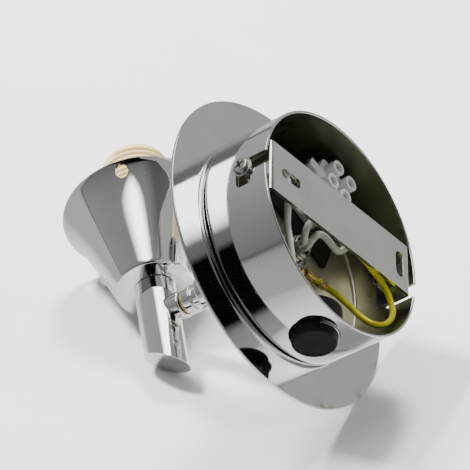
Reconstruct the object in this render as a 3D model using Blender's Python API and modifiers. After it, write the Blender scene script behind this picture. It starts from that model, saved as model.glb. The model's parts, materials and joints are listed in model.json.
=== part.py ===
"""Chrome bathroom wall light with one swivelling arm and a trumpet-shaped lamp cup, without its glass shade.

Sizes are in millimetres and are turned into metres when a mesh is made. World +Y points into the wall and +Z
points up. Most pieces are placed in a "room frame" of (x, up, depth), where depth is the distance from the wall
into the room: the cover pivot turns that frame into world axes. The head has its own frame along its leaning axis.
"""

import math

import bmesh
import bpy
from mathutils import Vector

MM = 0.001
GAP = 0.3  # clearance kept between neighbouring pieces
EPS = 1.0  # how far a cutter reaches past what it cuts

# Drum: the round cup that stands on the wall and hides the wiring
DRUM_RADIUS = 46.4
DRUM_DEPTH = 29.8
DRUM_WALL = 1.1
DRUM_FILLET = 2.3
DRUM_STEPS = 60

# Decorative disc clamped on the front of the drum
DISC_RADIUS = 63.5
DISC_THICKNESS = 1.4

# Strap: the bracket that is screwed to the wall, inside the mouth of the drum
STRAP_CLEARANCE = 2.6  # between the strap's ends and the drum's inner wall, on the axis
STRAP_LENGTH = 2 * (DRUM_RADIUS - DRUM_WALL - STRAP_CLEARANCE)
STRAP_WIDTH = 22.9
STRAP_RISE = 2.3  # how far the strap's middle line sits above the drum's axis
STRAP_THICKNESS = 1.4
STRAP_BEND = 1.8
TAB_DEPTH = 15.5
TAB_WIDTH = 16.6
LONG_SLOT_LENGTH = 11.4
LONG_SLOT_INSET = 12.0  # from the strap's end to the slot's middle
CROSS_SLOT_LENGTH = 11.9
CROSS_SLOT_INSET = 6.6
SLOT_WIDTH = 4.6

# Cover screws, which hold the drum on the strap's tabs
SCREW_DEPTH = 10.1
SCREW_SHANK = 2.0  # radius
SCREW_LENGTH = 14.5
SCREW_FLANGE = 4.1  # radius
SCREW_FLANGE_HEIGHT = 0.9
SCREW_HEAD = 3.4  # radius
SCREW_HEAD_HEIGHT = 1.9
TAB_NUT_ACROSS = 8.0
TAB_NUT_HEIGHT = 3.2

# L-shaped slots in the drum's side that slide over the cover screws
SLOT_MOUTH = 6.8
SLOT_LEG = 6.8
SLOT_MOUTH_RIGHT = 3.3  # height of the middle of each slot's mouth
SLOT_MOUTH_LEFT = -4.9
SLOT_LEG_DROP = 5.4  # how far the right leg reaches below its mouth
SLOT_LEG_RISE = 11.8  # how far the left leg reaches above its mouth

# Push-button switch in the drum's underside
BUTTON_DEPTH = 13.8
BUTTON_RADIUS = 8.7
BUTTON_CLEARANCE = 1.0  # round the cap, where the spring clip sits
BUTTON_HOLE = BUTTON_RADIUS + BUTTON_CLEARANCE
BUTTON_PROUD = 3.9
BUTTON_HEIGHT = 6.2
BUTTON_STEM = 2.5
BUTTON_TRAVEL = 2.5
SWITCH_LIP = 0.9  # how far the switch reaches past the hole
SWITCH_RADIUS = BUTTON_HOLE + SWITCH_LIP
SWITCH_HEIGHT = 9.0

# Terminal block on its insulating plate
BLOCK_X = -10.1
BLOCK_INSET = 16.7  # from the drum's outside to the block's middle
BLOCK_UP = DRUM_RADIUS - BLOCK_INSET
BLOCK_TURN = 21.7  # degrees
BLOCK_LENGTH = 18.5
BLOCK_WIDTH = 17.0
BLOCK_FACE = 12.0  # depth of the block's face
TOWER_FACE = 7.0
TOWER_RADIUS = 3.15
TOWER_ALONG = 4.1
TOWER_ACROSS = 4.6
TERMINAL_SCREW = 1.7
PLATE_THICKNESS = 1.2
PLATE_ALONG = (-22.2, 14.0)
PLATE_ACROSS = (-16.3, 8.0)

# Wires
WHITE_WIRE = 1.35  # radius
EARTH_WIRE = 1.2

# Arm: threaded tube, sleeve, collar and swivel
ARM_UP = -1.8
NIPPLE_RADIUS = 4.9
NIPPLE_BORE = 3.4
NIPPLE_BACK = 18.4  # depth of the end inside the drum
NIPPLE_FRONT = 60.5
INNER_NUT_ACROSS = 14.0
INNER_NUT_HEIGHT = 3.0
WASHER_RADIUS = 8.2
WASHER_THICKNESS = 0.8
EYELET_THICKNESS = 0.8
SLEEVE_RADIUS = 7.7
SLEEVE_FRONT = 66.9
NECK_WALL = 0.7
COLLAR_RADIUS = 5.6
COLLAR_BACK = 71.0
COLLAR_LENGTH = 4.3
SWIVEL_WASHER_RADIUS = 4.6
SWIVEL_WASHER_THICKNESS = 0.8
STUD_RADIUS = 2.5
STUD_BORE = 1.6
STUD_HEAD_RADIUS = 3.5
STUD_HEAD_HEIGHT = 1.2
NECK_RADIUS = STUD_HEAD_RADIUS + GAP + NECK_WALL

# Head: post, trumpet-shaped cup and lampholder, along an axis that leans away from the wall
HEAD_DEPTH = 89.97
HEAD_LEAN = 10.48  # degrees
POST_RADIUS = 8.44
POST_TOP = 12.0
POST_FOOT = -27.1  # height of the middle of the slanted cut
POST_CUT = 34.6  # degrees between the cut and a square end
POST_BORE = NIPPLE_RADIUS + GAP
POST_BORE_FLOOR = -6.0
BELL_BOTTOM_RADIUS = 15.65
BELL_RIM_RADIUS = 32.1
BELL_HEIGHT = 42.5
BELL_FLARE = 2.17  # how much of the widening happens close to the rim
BELL_FLARE_POWER = 8
BELL_WALL = 0.9
BELL_BOTTOM_WALL = 1.2
BELL_STEPS = 48
RIM_HOLE_RADIUS = 2.6
RIM_HOLE_BELOW = 3.7
RIM_HOLE_AZIMUTH = 23.5
RIM_HOLES = 3
HOLDER_RADIUS = 14.0
HOLDER_BASE_RADIUS = 10.5
HOLDER_TOP = 82.6
HOLDER_THREAD = 40.0  # length of the thick, threaded part
HOLDER_BORE = 8.3
HOLDER_BORE_FLOOR = 48.0
HOLDER_NUT_ACROSS = 14.0
HOLDER_NUT_HEIGHT = 3.0
SHELL_CLEARANCE = 0.4
SHELL_RADIUS = HOLDER_BORE - SHELL_CLEARANCE
SHELL_WALL = 0.5
SHELL_BOTTOM = 56.0
SHELL_TOP = 77.0
CONTACT_RADIUS = 3.0

CHROME = ("chrome", (0.80, 0.80, 0.79), 1.0, 0.05)
NICKEL = ("nickel_steel", (0.62, 0.62, 0.60), 1.0, 0.28)
BRASS = ("brass", (0.74, 0.56, 0.24), 1.0, 0.25)
BLACK = ("black_plastic", (0.012, 0.012, 0.012), 0.0, 0.45)
NATURAL = ("natural_nylon", (0.80, 0.82, 0.80), 0.0, 0.35)
CREAM = ("cream_plastic", (0.86, 0.70, 0.49), 0.0, 0.40)
WHITE = ("white_silicone", (0.74, 0.74, 0.68), 0.0, 0.55)
EARTH = ("earth_insulation", (0.72, 0.66, 0.02), 0.0, 0.40)


def clearScene():
    for obj in list(bpy.data.objects):
        bpy.data.objects.remove(obj, do_unlink=True)


def newCollection(name):
    collection = bpy.data.collections.new(name)
    bpy.context.scene.collection.children.link(collection)
    return collection


def materialOf(finish):
    name, colour, metallic, roughness = finish
    found = bpy.data.materials.get(name)
    if found:
        return found
    made = bpy.data.materials.new(name)
    made.use_nodes = True
    shader = made.node_tree.nodes["Principled BSDF"]
    shader.inputs["Base Color"].default_value = (*colour, 1.0)
    shader.inputs["Metallic"].default_value = metallic
    shader.inputs["Roughness"].default_value = roughness
    made.diffuse_color = (*colour, 1.0)
    return made


def addPivot(name, parent, location=(0, 0, 0), rotation=(0, 0, 0)):
    """Adds an empty on a joint's axis, for the pieces that move together."""
    pivot = bpy.data.objects.new(name, None)
    pivot.empty_display_size = 10 * MM
    pivot.parent = parent
    pivot.location = Vector(location) * MM
    pivot.rotation_euler = [math.radians(angle) for angle in rotation]
    partsCollection.objects.link(pivot)
    return pivot


def addObject(name, data, parent, finish=None, location=(0, 0, 0), rotation=(0, 0, 0)):
    """Adds a part, or a cutter when it has no finish."""
    obj = bpy.data.objects.new(name, data)
    obj.parent = parent
    obj.location = Vector(location) * MM
    obj.rotation_euler = [math.radians(angle) for angle in rotation]
    if finish:
        data.materials.append(materialOf(finish))
        partsCollection.objects.link(obj)
    else:
        obj.hide_render = True
        obj.display_type = "WIRE"
        cuttersCollection.objects.link(obj)
    return obj


def meshFrom(name, shape, smooth=True):
    """Turns a bmesh in millimetres into a mesh in metres."""
    bmesh.ops.scale(shape, vec=(MM, MM, MM), verts=shape.verts)
    bmesh.ops.recalc_face_normals(shape, faces=shape.faces)
    mesh = bpy.data.meshes.new(name)
    shape.to_mesh(mesh)
    shape.free()
    if smooth:
        mesh.shade_smooth()
        mesh.set_sharp_from_angle(angle=math.radians(30))
    return mesh


def addTurned(name, profile, parent, finish=None, ring=False, steps=32, **place):
    """Turns a profile of (radius, height) about Z. It runs down its outer side; a ring's profile closes on itself."""
    mesh = bpy.data.meshes.new(name)
    points = [(radius * MM, 0, height * MM) for radius, height in profile]
    edges = [(i, i + 1) for i in range(len(points) - 1)]
    if ring:
        edges.append((len(points) - 1, 0))
    mesh.from_pydata(points, edges, [])
    obj = addObject(name, mesh, parent, finish, **place)
    screw = obj.modifiers.new("Turn", "SCREW")
    screw.axis = "Z"
    screw.angle = math.tau
    screw.steps = steps
    screw.render_steps = steps
    screw.use_merge_vertices = True
    screw.merge_threshold = 0.00001
    screw.use_smooth_shade = True
    return obj


def addTube(name, inner, outer, low, high, parent, finish=None, edge=0.0, **options):
    """A ring of the given radii between two heights, with its outer edges chamfered."""
    profile = [
        (inner, high),
        (outer - edge, high),
        (outer, high - edge),
        (outer, low + edge),
        (outer - edge, low),
        (inner, low),
    ]
    if not edge:
        profile = [(inner, high), (outer, high), (outer, low), (inner, low)]
    return addTurned(name, profile, parent, finish, ring=True, **options)


def addCylinder(name, radius, low, high, parent, finish=None, sides=32, **place):
    shape = bmesh.new()
    bmesh.ops.create_cone(
        shape, cap_ends=True, segments=sides, radius1=radius, radius2=radius, depth=high - low
    )
    bmesh.ops.translate(shape, vec=(0, 0, (high + low) / 2), verts=shape.verts)
    return addObject(name, meshFrom(name, shape), parent, finish, **place)


def addBox(name, low, high, parent, finish=None, roundAxis=None, radius=0.0, **place):
    """A box between two corners, with the edges along one axis rounded when asked."""
    shape = bmesh.new()
    bmesh.ops.create_cube(shape, size=1.0)
    low = Vector(low)
    high = Vector(high)
    bmesh.ops.scale(shape, vec=high - low, verts=shape.verts)
    bmesh.ops.translate(shape, vec=(low + high) / 2, verts=shape.verts)
    if roundAxis is not None:
        along = [e for e in shape.edges if abs((e.verts[0].co - e.verts[1].co)[roundAxis]) > 1e-6]
        bmesh.ops.bevel(shape, geom=along, offset=radius, segments=5, profile=0.5, affect="EDGES")
    return addObject(name, meshFrom(name, shape), parent, finish, **place)


def cut(target, *cutters):
    for cutter in cutters:
        modifier = target.modifiers.new("Cut " + cutter.name, "BOOLEAN")
        modifier.operation = "DIFFERENCE"
        modifier.object = cutter


def join(target, *others):
    for other in others:
        modifier = target.modifiers.new("Join " + other.name, "BOOLEAN")
        modifier.operation = "UNION"
        modifier.object = other


def arc(centreR, centreH, radius, start, end, count=5):
    """Points of a round corner, from one angle to another in degrees."""
    points = []
    for i in range(count + 1):
        angle = math.radians(start + (end - start) * i / count)
        points.append((centreR + radius * math.cos(angle), centreH + radius * math.sin(angle)))
    return points


def smoothRoute(points, spacing):
    """Evenly spaced points on the Catmull-Rom curve through the route's own points."""
    guides = [Vector(point) for point in points]
    guides = [2 * guides[0] - guides[1]] + guides + [2 * guides[-1] - guides[-2]]
    dense = []
    for i in range(1, len(guides) - 2):
        before, start, end, after = guides[i - 1 : i + 3]
        for k in range(24):
            t = k / 24
            dense.append(
                0.5
                * (
                    2 * start
                    + (end - before) * t
                    + (2 * before - 5 * start + 4 * end - after) * t**2
                    + (3 * start - before - 3 * end + after) * t**3
                )
            )
    dense.append(guides[-2])
    total = sum((b - a).length for a, b in zip(dense, dense[1:]))
    count = max(2, round(total / spacing))
    route = [dense[0]]
    walked = 0.0
    for a, b in zip(dense, dense[1:]):
        step = (b - a).length
        while len(route) < count and walked + step >= total * len(route) / count:
            share = (total * len(route) / count - walked) / step
            route.append(a.lerp(b, share))
        walked += step
    route.append(dense[-1])
    return route


def addWire(name, points, radius, parent, finish):
    curve = bpy.data.curves.new(name, "CURVE")
    curve.dimensions = "3D"
    route = smoothRoute(points, radius * 2.2)
    spline = curve.splines.new("POLY")
    spline.points.add(len(route) - 1)
    for point, place in zip(spline.points, route):
        point.co = (*(place * MM), 1.0)
    curve.bevel_depth = radius * MM
    curve.bevel_resolution = 2
    curve.use_fill_caps = True
    return addObject(name, curve, parent, finish)


def blockPoint(along, across):
    """A place on the terminal block's own axes, as (x, up) in the room frame."""
    turn = math.radians(BLOCK_TURN)
    x = BLOCK_X + along * math.cos(turn) - across * math.sin(turn)
    up = BLOCK_UP + along * math.sin(turn) + across * math.cos(turn)
    return x, up


def blockEntry(along, depth):
    """The last points of a wire that goes square into the lower long side of the terminal block."""
    face = -BLOCK_WIDTH / 2 - 2 * GAP
    return [(*blockPoint(along, face - reach), depth) for reach in (4.0, 2.0, 0.0)]


def makeStrap(parent):
    """A flat strip with both ends bent at right angles into tabs, each tab relieved above its bend."""
    half = STRAP_LENGTH / 2
    bend = arc(half - STRAP_BEND, STRAP_BEND, STRAP_BEND, 0, -90)
    line = [(half, TAB_DEPTH)] + bend
    line = line + [(-x, depth) for x, depth in reversed(line)]
    low = STRAP_RISE - STRAP_WIDTH / 2
    high = STRAP_RISE + STRAP_WIDTH / 2
    shape = bmesh.new()
    rows = [[shape.verts.new((x, up, depth)) for x, depth in line] for up in (low, high)]
    for i in range(len(line) - 1):
        shape.faces.new((rows[0][i], rows[1][i], rows[1][i + 1], rows[0][i + 1]))
    bmesh.ops.scale(shape, vec=(MM, MM, MM), verts=shape.verts)
    mesh = bpy.data.meshes.new("mounting_strap")
    shape.to_mesh(mesh)
    shape.free()
    strap = addObject("mounting_strap", mesh, parent, NICKEL)
    solid = strap.modifiers.new("Thickness", "SOLIDIFY")
    solid.thickness = STRAP_THICKNESS * MM
    solid.offset = 1.0
    solid.use_even_offset = True
    tabTop = low + TAB_WIDTH
    for side in (-1, 1):
        inner = side * (half - STRAP_THICKNESS - EPS)
        outer = side * (half + EPS)
        relief = addBox(
            f"cut_relief_{side}",
            (min(inner, outer), tabTop, STRAP_BEND + GAP),
            (max(inner, outer), high + EPS, TAB_DEPTH + EPS),
            parent,
        )
        hole = addCylinder(
            f"cut_tab_hole_{side}", SCREW_SHANK + GAP, -3, 3, parent, sides=24,
            location=(side * half, STRAP_RISE, SCREW_DEPTH), rotation=(0, 90, 0),
        )
        cut(strap, relief, hole)
    longX = half - LONG_SLOT_INSET
    crossX = CROSS_SLOT_INSET - half
    longSlot = addBox(
        "cut_long_slot",
        (longX - LONG_SLOT_LENGTH / 2, STRAP_RISE - SLOT_WIDTH / 2, -EPS),
        (longX + LONG_SLOT_LENGTH / 2, STRAP_RISE + SLOT_WIDTH / 2, STRAP_THICKNESS + EPS),
        parent, roundAxis=2, radius=SLOT_WIDTH / 2 - 0.1,
    )
    crossSlot = addBox(
        "cut_cross_slot",
        (crossX - SLOT_WIDTH / 2, STRAP_RISE - CROSS_SLOT_LENGTH / 2, -EPS),
        (crossX + SLOT_WIDTH / 2, STRAP_RISE + CROSS_SLOT_LENGTH / 2, STRAP_THICKNESS + EPS),
        parent, roundAxis=2, radius=SLOT_WIDTH / 2 - 0.1,
    )
    cut(strap, longSlot, crossSlot)
    return strap


def addNut(name, across, height, bore, parent, finish, **place):
    nut = addCylinder(name, across / math.sqrt(3), 0, height, parent, finish, sides=6, **place)
    drill = addCylinder("cut_" + name, bore, -EPS, height + EPS, parent, sides=32, **place)
    cut(nut, drill)
    return nut


def makeCoverScrew(side, sideName, root):
    """A nut behind the tab, and a screw with a flanged, domed head whose axis is the pivot's Z."""
    outward = 90 * side
    nutFace = STRAP_LENGTH / 2 - STRAP_THICKNESS - GAP - TAB_NUT_HEIGHT
    addNut(
        f"tab_nut_{sideName}", TAB_NUT_ACROSS, TAB_NUT_HEIGHT, SCREW_SHANK + GAP, root, NICKEL,
        location=(side * nutFace, STRAP_RISE, SCREW_DEPTH), rotation=(0, outward, 0),
    )
    seat = DRUM_RADIUS + GAP
    pivot = addPivot(
        f"cover_screw_{sideName}_pivot", root,
        location=(side * seat, STRAP_RISE, SCREW_DEPTH), rotation=(0, outward, 0),
    )
    flangeTop = SCREW_FLANGE_HEIGHT
    headTop = flangeTop + SCREW_HEAD_HEIGHT
    profile = [(0, headTop), (SCREW_HEAD * 0.55, headTop - 0.15)]
    profile += arc(SCREW_HEAD - 1.1, headTop - 1.2, 1.1, 70, 0, 3)
    profile += [
        (SCREW_HEAD, flangeTop),
        (SCREW_FLANGE, flangeTop - 0.2),
        (SCREW_FLANGE, 0),
        (SCREW_SHANK, 0),
        (SCREW_SHANK, 0.5 - SCREW_LENGTH),
        (SCREW_SHANK - 0.5, -SCREW_LENGTH),
        (0, -SCREW_LENGTH),
    ]
    screw = addTurned(f"cover_screw_{sideName}", profile, pivot, NICKEL, steps=20)
    arms = [
        addBox(
            f"cut_recess_{sideName}_{turn}", (-2.2, -0.45, headTop - 1.3), (2.2, 0.45, headTop + EPS),
            pivot, rotation=(0, 0, turn),
        )
        for turn in (20, 110)
    ]
    cut(screw, *arms)


def makeDrum(parent):
    """One deep-drawn cup, with its L-shaped slots, its switch hole and its arm hole."""
    inner = DRUM_RADIUS - DRUM_WALL
    innerFillet = DRUM_FILLET - DRUM_WALL
    profile = [(0, DRUM_DEPTH)]
    profile += arc(DRUM_RADIUS - DRUM_FILLET, DRUM_DEPTH - DRUM_FILLET, DRUM_FILLET, 90, 0)
    profile += [(DRUM_RADIUS, 0.25), (DRUM_RADIUS - 0.25, 0), (inner + 0.25, 0), (inner, 0.25)]
    profile += arc(inner - innerFillet, DRUM_DEPTH - DRUM_FILLET, innerFillet, 0, 90, 4)
    profile += [(0, DRUM_DEPTH - DRUM_WALL)]
    drum = addTurned("drum_cup", profile, parent, CHROME, steps=DRUM_STEPS)
    for side, mouth, legLow, legHigh in (
        (1, SLOT_MOUTH_RIGHT, -SLOT_MOUTH / 2 - SLOT_LEG_DROP, SLOT_MOUTH / 2),
        (-1, SLOT_MOUTH_LEFT, -SLOT_MOUTH / 2, SLOT_MOUTH / 2 + SLOT_LEG_RISE),
    ):
        near = side * (inner - 5)
        far = side * (DRUM_RADIUS + EPS)
        low, high = min(near, far), max(near, far)
        mouthCut = addBox(
            f"cut_mouth_{side}",
            (low, mouth - SLOT_MOUTH / 2, -EPS),
            (high, mouth + SLOT_MOUTH / 2, SCREW_DEPTH),
            parent,
        )
        legCut = addBox(
            f"cut_leg_{side}",
            (low, mouth + legLow, SCREW_DEPTH + 0.4 - SLOT_LEG / 2),
            (high, mouth + legHigh, SCREW_DEPTH + 0.4 + SLOT_LEG / 2),
            parent, roundAxis=0, radius=2.0,
        )
        cut(drum, mouthCut, legCut)
    buttonCut = addCylinder(
        "cut_button", BUTTON_HOLE, -6, 6, parent, sides=48,
        location=(0, -DRUM_RADIUS, BUTTON_DEPTH), rotation=(90, 0, 0),
    )
    armCut = addCylinder(
        "cut_drum_arm", NIPPLE_RADIUS + GAP, DRUM_DEPTH - 3, DRUM_DEPTH + EPS, parent, location=(0, ARM_UP, 0)
    )
    cut(drum, buttonCut, armCut)


def makeDisc(parent):
    back = DRUM_DEPTH + GAP
    front = back + DISC_THICKNESS
    profile = [
        (0, front),
        (DISC_RADIUS - 0.7, front),
        (DISC_RADIUS, front - 0.7),
        (DISC_RADIUS, back + 0.3),
        (DISC_RADIUS - 0.3, back),
        (0, back),
    ]
    disc = addTurned("backplate_disc", profile, parent, CHROME, steps=DRUM_STEPS)
    hole = addCylinder(
        "cut_disc_arm", NIPPLE_RADIUS + GAP, back - EPS, front + EPS, parent, location=(0, ARM_UP, 0)
    )
    cut(disc, hole)
    return front


def makeSwitch(parent):
    """The switch stands on the drum's inner wall; its cap slides in the drum's hole. The pivot's Z points up."""
    pivot = addPivot(
        "switch_button_pivot", parent,
        location=(0, -DRUM_RADIUS - BUTTON_PROUD, BUTTON_DEPTH), rotation=(-90, 0, 0),
    )
    edge = 0.9
    stemTop = BUTTON_HEIGHT + 7.0
    profile = [
        (0, stemTop),
        (BUTTON_STEM, stemTop),
        (BUTTON_STEM, BUTTON_HEIGHT),
        (BUTTON_RADIUS, BUTTON_HEIGHT),
        (BUTTON_RADIUS, edge),
        (BUTTON_RADIUS - edge, 0),
        (0, 0),
    ]
    addTurned("switch_button", profile, pivot, BLACK, steps=36)
    wallRise = DRUM_RADIUS - math.sqrt((DRUM_RADIUS - DRUM_WALL) ** 2 - SWITCH_RADIUS**2)
    foot = BUTTON_PROUD + wallRise + GAP
    top = foot + SWITCH_HEIGHT
    seat = BUTTON_HEIGHT + BUTTON_TRAVEL + GAP
    bore = BUTTON_RADIUS + GAP
    profile = [
        (0, top),
        (SWITCH_RADIUS - 0.6, top),
        (SWITCH_RADIUS, top - 0.6),
        (SWITCH_RADIUS, foot),
        (bore, foot),
        (bore, seat),
        (BUTTON_STEM + GAP, seat),
        (BUTTON_STEM + GAP, stemTop + BUTTON_TRAVEL + GAP),
        (0, stemTop + BUTTON_TRAVEL + GAP),
    ]
    frame = addPivot(
        "switch_frame", parent,
        location=(0, -DRUM_RADIUS - BUTTON_PROUD, BUTTON_DEPTH), rotation=(-90, 0, 0),
    )
    addTurned("switch_body", profile, frame, BLACK, steps=32)
    clip = addTube(
        "switch_clip", BUTTON_RADIUS + GAP, BUTTON_HOLE - GAP, BUTTON_PROUD - 0.6, foot - GAP, frame, NICKEL,
        steps=40,
    )
    reach = BUTTON_HOLE + EPS
    gapCut = addBox(
        "cut_clip_side", (-reach, -reach, 0), (2.0, reach, foot + EPS), frame, rotation=(0, 0, 130)
    )
    cut(clip, gapCut)
    return top


def makeBlock(parent):
    """Four-tower terminal block on a turned insulating plate."""
    floorFace = DRUM_DEPTH - DRUM_WALL - GAP
    plateFace = floorFace - PLATE_THICKNESS
    blockBack = plateFace - GAP
    place = {"location": (BLOCK_X, BLOCK_UP, 0), "rotation": (0, 0, BLOCK_TURN)}
    addBox(
        "insulating_plate",
        (PLATE_ALONG[0], PLATE_ACROSS[0], plateFace),
        (PLATE_ALONG[1], PLATE_ACROSS[1], floorFace),
        parent, BLACK, roundAxis=2, radius=0.8, **place,
    )
    halfL = BLOCK_LENGTH / 2
    halfW = BLOCK_WIDTH / 2
    block = addBox(
        "terminal_block", (-halfL, -halfW, BLOCK_FACE), (halfL, halfW, blockBack), parent, NATURAL,
        roundAxis=2, radius=2.0, **place,
    )
    ear = addBox("join_ear", (halfL - EPS, -2, BLOCK_FACE), (halfL + 4.8, 2, BLOCK_FACE + 2.2), parent, **place)
    join(block, ear)
    spots = [(a * TOWER_ALONG, b * TOWER_ACROSS) for a in (-1, 1) for b in (-1, 1)]
    bores = []
    for i, (along, across) in enumerate(spots, 1):
        x, up = blockPoint(along, across)
        tower = addCylinder(
            f"join_tower_{i}", TOWER_RADIUS, TOWER_FACE, BLOCK_FACE + EPS, parent, sides=24, location=(x, up, 0)
        )
        join(block, tower)
        bores.append(
            addCylinder(
                f"cut_tower_{i}", TERMINAL_SCREW + GAP, TOWER_FACE - EPS, BLOCK_FACE, parent, sides=20,
                location=(x, up, 0),
            )
        )
        screw = addCylinder(
            f"terminal_screw_{i}", TERMINAL_SCREW, TOWER_FACE + 1.2, BLOCK_FACE - GAP, parent, NICKEL, sides=20,
            location=(x, up, 0),
        )
        slot = addBox(
            f"cut_screw_slot_{i}", (-3, -0.3, TOWER_FACE), (3, 0.3, TOWER_FACE + 1.8), parent,
            location=(x, up, 0), rotation=(0, 0, 35 + 40 * i),
        )
        cut(screw, slot)
    cut(block, *bores)


def makeEarth(parent):
    """Ring terminal under the arm's nut, its crimped barrel, and the green-and-yellow wire."""
    back = DRUM_DEPTH - DRUM_WALL - GAP - WASHER_THICKNESS - GAP
    front = back - EYELET_THICKNESS
    barrelUp = ARM_UP - 3.0
    barrelDepth = front - 0.9
    barrelRadius = 1.9
    start, end = -10.4, -22.0
    eyelet = addTube(
        "earth_terminal", NIPPLE_RADIUS + GAP, WASHER_RADIUS, front, back, parent, BRASS, steps=36,
        location=(0, ARM_UP, 0),
    )
    tongue = addBox(
        "join_tongue", (start - 1.5, barrelUp - 1.7, front), (-NIPPLE_RADIUS - 1.5, barrelUp + 1.7, back), parent
    )
    barrel = addCylinder(
        "join_barrel", barrelRadius, start, end, parent, sides=20,
        location=(0, barrelUp, barrelDepth), rotation=(0, 90, 0),
    )
    join(eyelet, tongue, barrel)
    bore = addCylinder(
        "cut_barrel", EARTH_WIRE + GAP, end - EPS, end + 4.8, parent, sides=16,
        location=(0, barrelUp, barrelDepth), rotation=(0, 90, 0),
    )
    cut(eyelet, bore)
    route = [
        (end + 4.0, barrelUp, barrelDepth),
        (end + 1.5, barrelUp, barrelDepth),
        (end - 1.2, barrelUp - 0.1, barrelDepth - 0.1),
        (-26.4, -6.8, 23.7),
        (-30.2, -11.6, 20.4),
        (-33.0, -16.6, 17.2),
        (-34.8, -21.0, 13.0),
        (-36.4, -22.6, 8.8),
        (-38.2, -20.3, 6.6),
        (-39.3, -16.3, 6.2),
        (-38.4, -12.2, 6.3),
        (-36.0, -8.4, 6.3),
        (-32.2, -5.5, 6.2),
        (-26.6, -3.4, 6.2),
        (-22.0, -1.3, 6.5),
        (-17.7, 0.4, 7.0),
        (-14.8, 3.0, 8.2),
        (-11.4, 7.6, 9.0),
        (-8.0, 12.6, 11.5),
        *blockEntry(0, 15.5),
    ]
    addWire("earth_wire", route, EARTH_WIRE, parent, EARTH)


def makeWires(parent, switchTop):
    """Supply wires inside the drum and the arm. Their routes are chosen by hand."""
    side = 1.55  # the two lamp wires lie side by side in the arm's bore
    arm = NIPPLE_FRONT - 1.0
    addWire(
        "lamp_live_wire",
        [
            (-side, ARM_UP, arm), (-side, ARM_UP, 40), (-side, ARM_UP, 26), (-side, ARM_UP, 18.4),
            (-1.2, ARM_UP + 1.4, 15.8), (-2.6, 2.7, 13.9), (-5.4, 3.6, 13.1), (-9.2, 2.6, 13.0),
            (-13.4, 1.5, 13.1), (-15.9, 2.2, 12.0), (-16.8, 5.2, 10.4), (-17.3, 9.6, 10.6),
            (-14.6, 13.6, 15.0), *blockEntry(-4.1, 20.5),
        ],
        WHITE_WIRE, parent, WHITE,
    )
    addWire(
        "lamp_neutral_wire",
        [
            (side, ARM_UP, arm), (side, ARM_UP, 40), (side, ARM_UP, 26), (side, ARM_UP, 18.4),
            (2.6, ARM_UP - 0.4, 16.0), (4.6, ARM_UP + 0.2, 14.2), (5.0, 1.4, 12.6), (3.0, 5.6, 11.4),
            (0.8, 9.8, 11.4), (-0.6, 14.2, 15.0), *blockEntry(4.1, 20.5),
        ],
        WHITE_WIRE, parent, WHITE,
    )
    switchUp = -DRUM_RADIUS - BUTTON_PROUD + switchTop + GAP
    addWire(
        "switch_wire",
        [
            (5.0, switchUp, BUTTON_DEPTH + 1.5), (5.0, switchUp + 3.0, BUTTON_DEPTH + 1.5),
            (9.4, switchUp + 9.5, 15.4), (13.6, -16.6, 13.6), (15.7, -11.4, 12.9), (18.0, -6.2, 12.0),
            (21.4, -3.2, 9.2), (23.4, 0.6, 7.4), (23.8, 5.4, 7.4), (21.5, 11.0, 9.0),
            (18.5, 18.0, 12.5), (16.8, 26.0, 15.0), (11.6, 31.2, 18.0),
            *[(*blockPoint(BLOCK_LENGTH / 2 + 2 * GAP + reach, -4.4), 20.0) for reach in (5.0, 2.0, 0.0)],
        ],
        WHITE_WIRE, parent, WHITE,
    )


def makeArm(parent, discFront):
    """Threaded tube through drum and disc, its nut and washer, the sleeve and the fixed half of the swivel."""
    axis = {"location": (0, ARM_UP, 0)}
    floorFace = DRUM_DEPTH - DRUM_WALL - GAP
    nutBack = floorFace - WASHER_THICKNESS - GAP - EYELET_THICKNESS - GAP
    bore = NIPPLE_RADIUS + GAP
    addTube("nipple", NIPPLE_BORE, NIPPLE_RADIUS, NIPPLE_BACK, NIPPLE_FRONT, parent, NICKEL, edge=0.5, **axis)
    addTube(
        "lock_washer", bore, WASHER_RADIUS, floorFace - WASHER_THICKNESS, floorFace, parent, NICKEL, **axis
    )
    addNut(
        "inner_nut", INNER_NUT_ACROSS, INNER_NUT_HEIGHT, bore, parent, NICKEL,
        location=(0, ARM_UP, nutBack - INNER_NUT_HEIGHT), rotation=(0, 0, 12),
    )
    sleeveBack = discFront + GAP
    sleeveProfile = [
        (NECK_RADIUS + GAP, SLEEVE_FRONT),
        (SLEEVE_RADIUS - 0.5, SLEEVE_FRONT),
        (SLEEVE_RADIUS, SLEEVE_FRONT - 0.5),
        (SLEEVE_RADIUS, sleeveBack),
        (bore, sleeveBack),
        (bore, SLEEVE_FRONT - 2.0),
        (NECK_RADIUS + GAP, SLEEVE_FRONT - 2.0),
    ]
    addTurned("arm_sleeve", sleeveProfile, parent, CHROME, ring=True, steps=36, **axis)
    front = COLLAR_BACK + COLLAR_LENGTH
    headRoom = STUD_HEAD_RADIUS + GAP
    headFront = front - 2.2
    collarProfile = [(STUD_RADIUS + GAP, front), (COLLAR_RADIUS - 0.9, front)]
    collarProfile += arc(COLLAR_RADIUS - 0.8, front - 0.8, 0.8, 80, 0, 4)
    collarProfile += arc(COLLAR_RADIUS - 0.4, COLLAR_BACK + 0.4, 0.4, 0, -80, 3)
    collarProfile += [
        (NECK_RADIUS, COLLAR_BACK),
        (NECK_RADIUS, NIPPLE_FRONT + GAP),
        (headRoom, NIPPLE_FRONT + GAP),
        (headRoom, headFront),
        (STUD_RADIUS + GAP, headFront),
    ]
    addTurned("arm_collar", collarProfile, parent, CHROME, ring=True, steps=28, **axis)
    washerBack = front + GAP
    washerFront = washerBack + SWIVEL_WASHER_THICKNESS
    addTube(
        "swivel_washer", STUD_RADIUS + GAP, SWIVEL_WASHER_RADIUS, washerBack, washerFront, parent, BRASS,
        edge=0.15, **axis,
    )
    return headFront, washerFront + GAP


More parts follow.
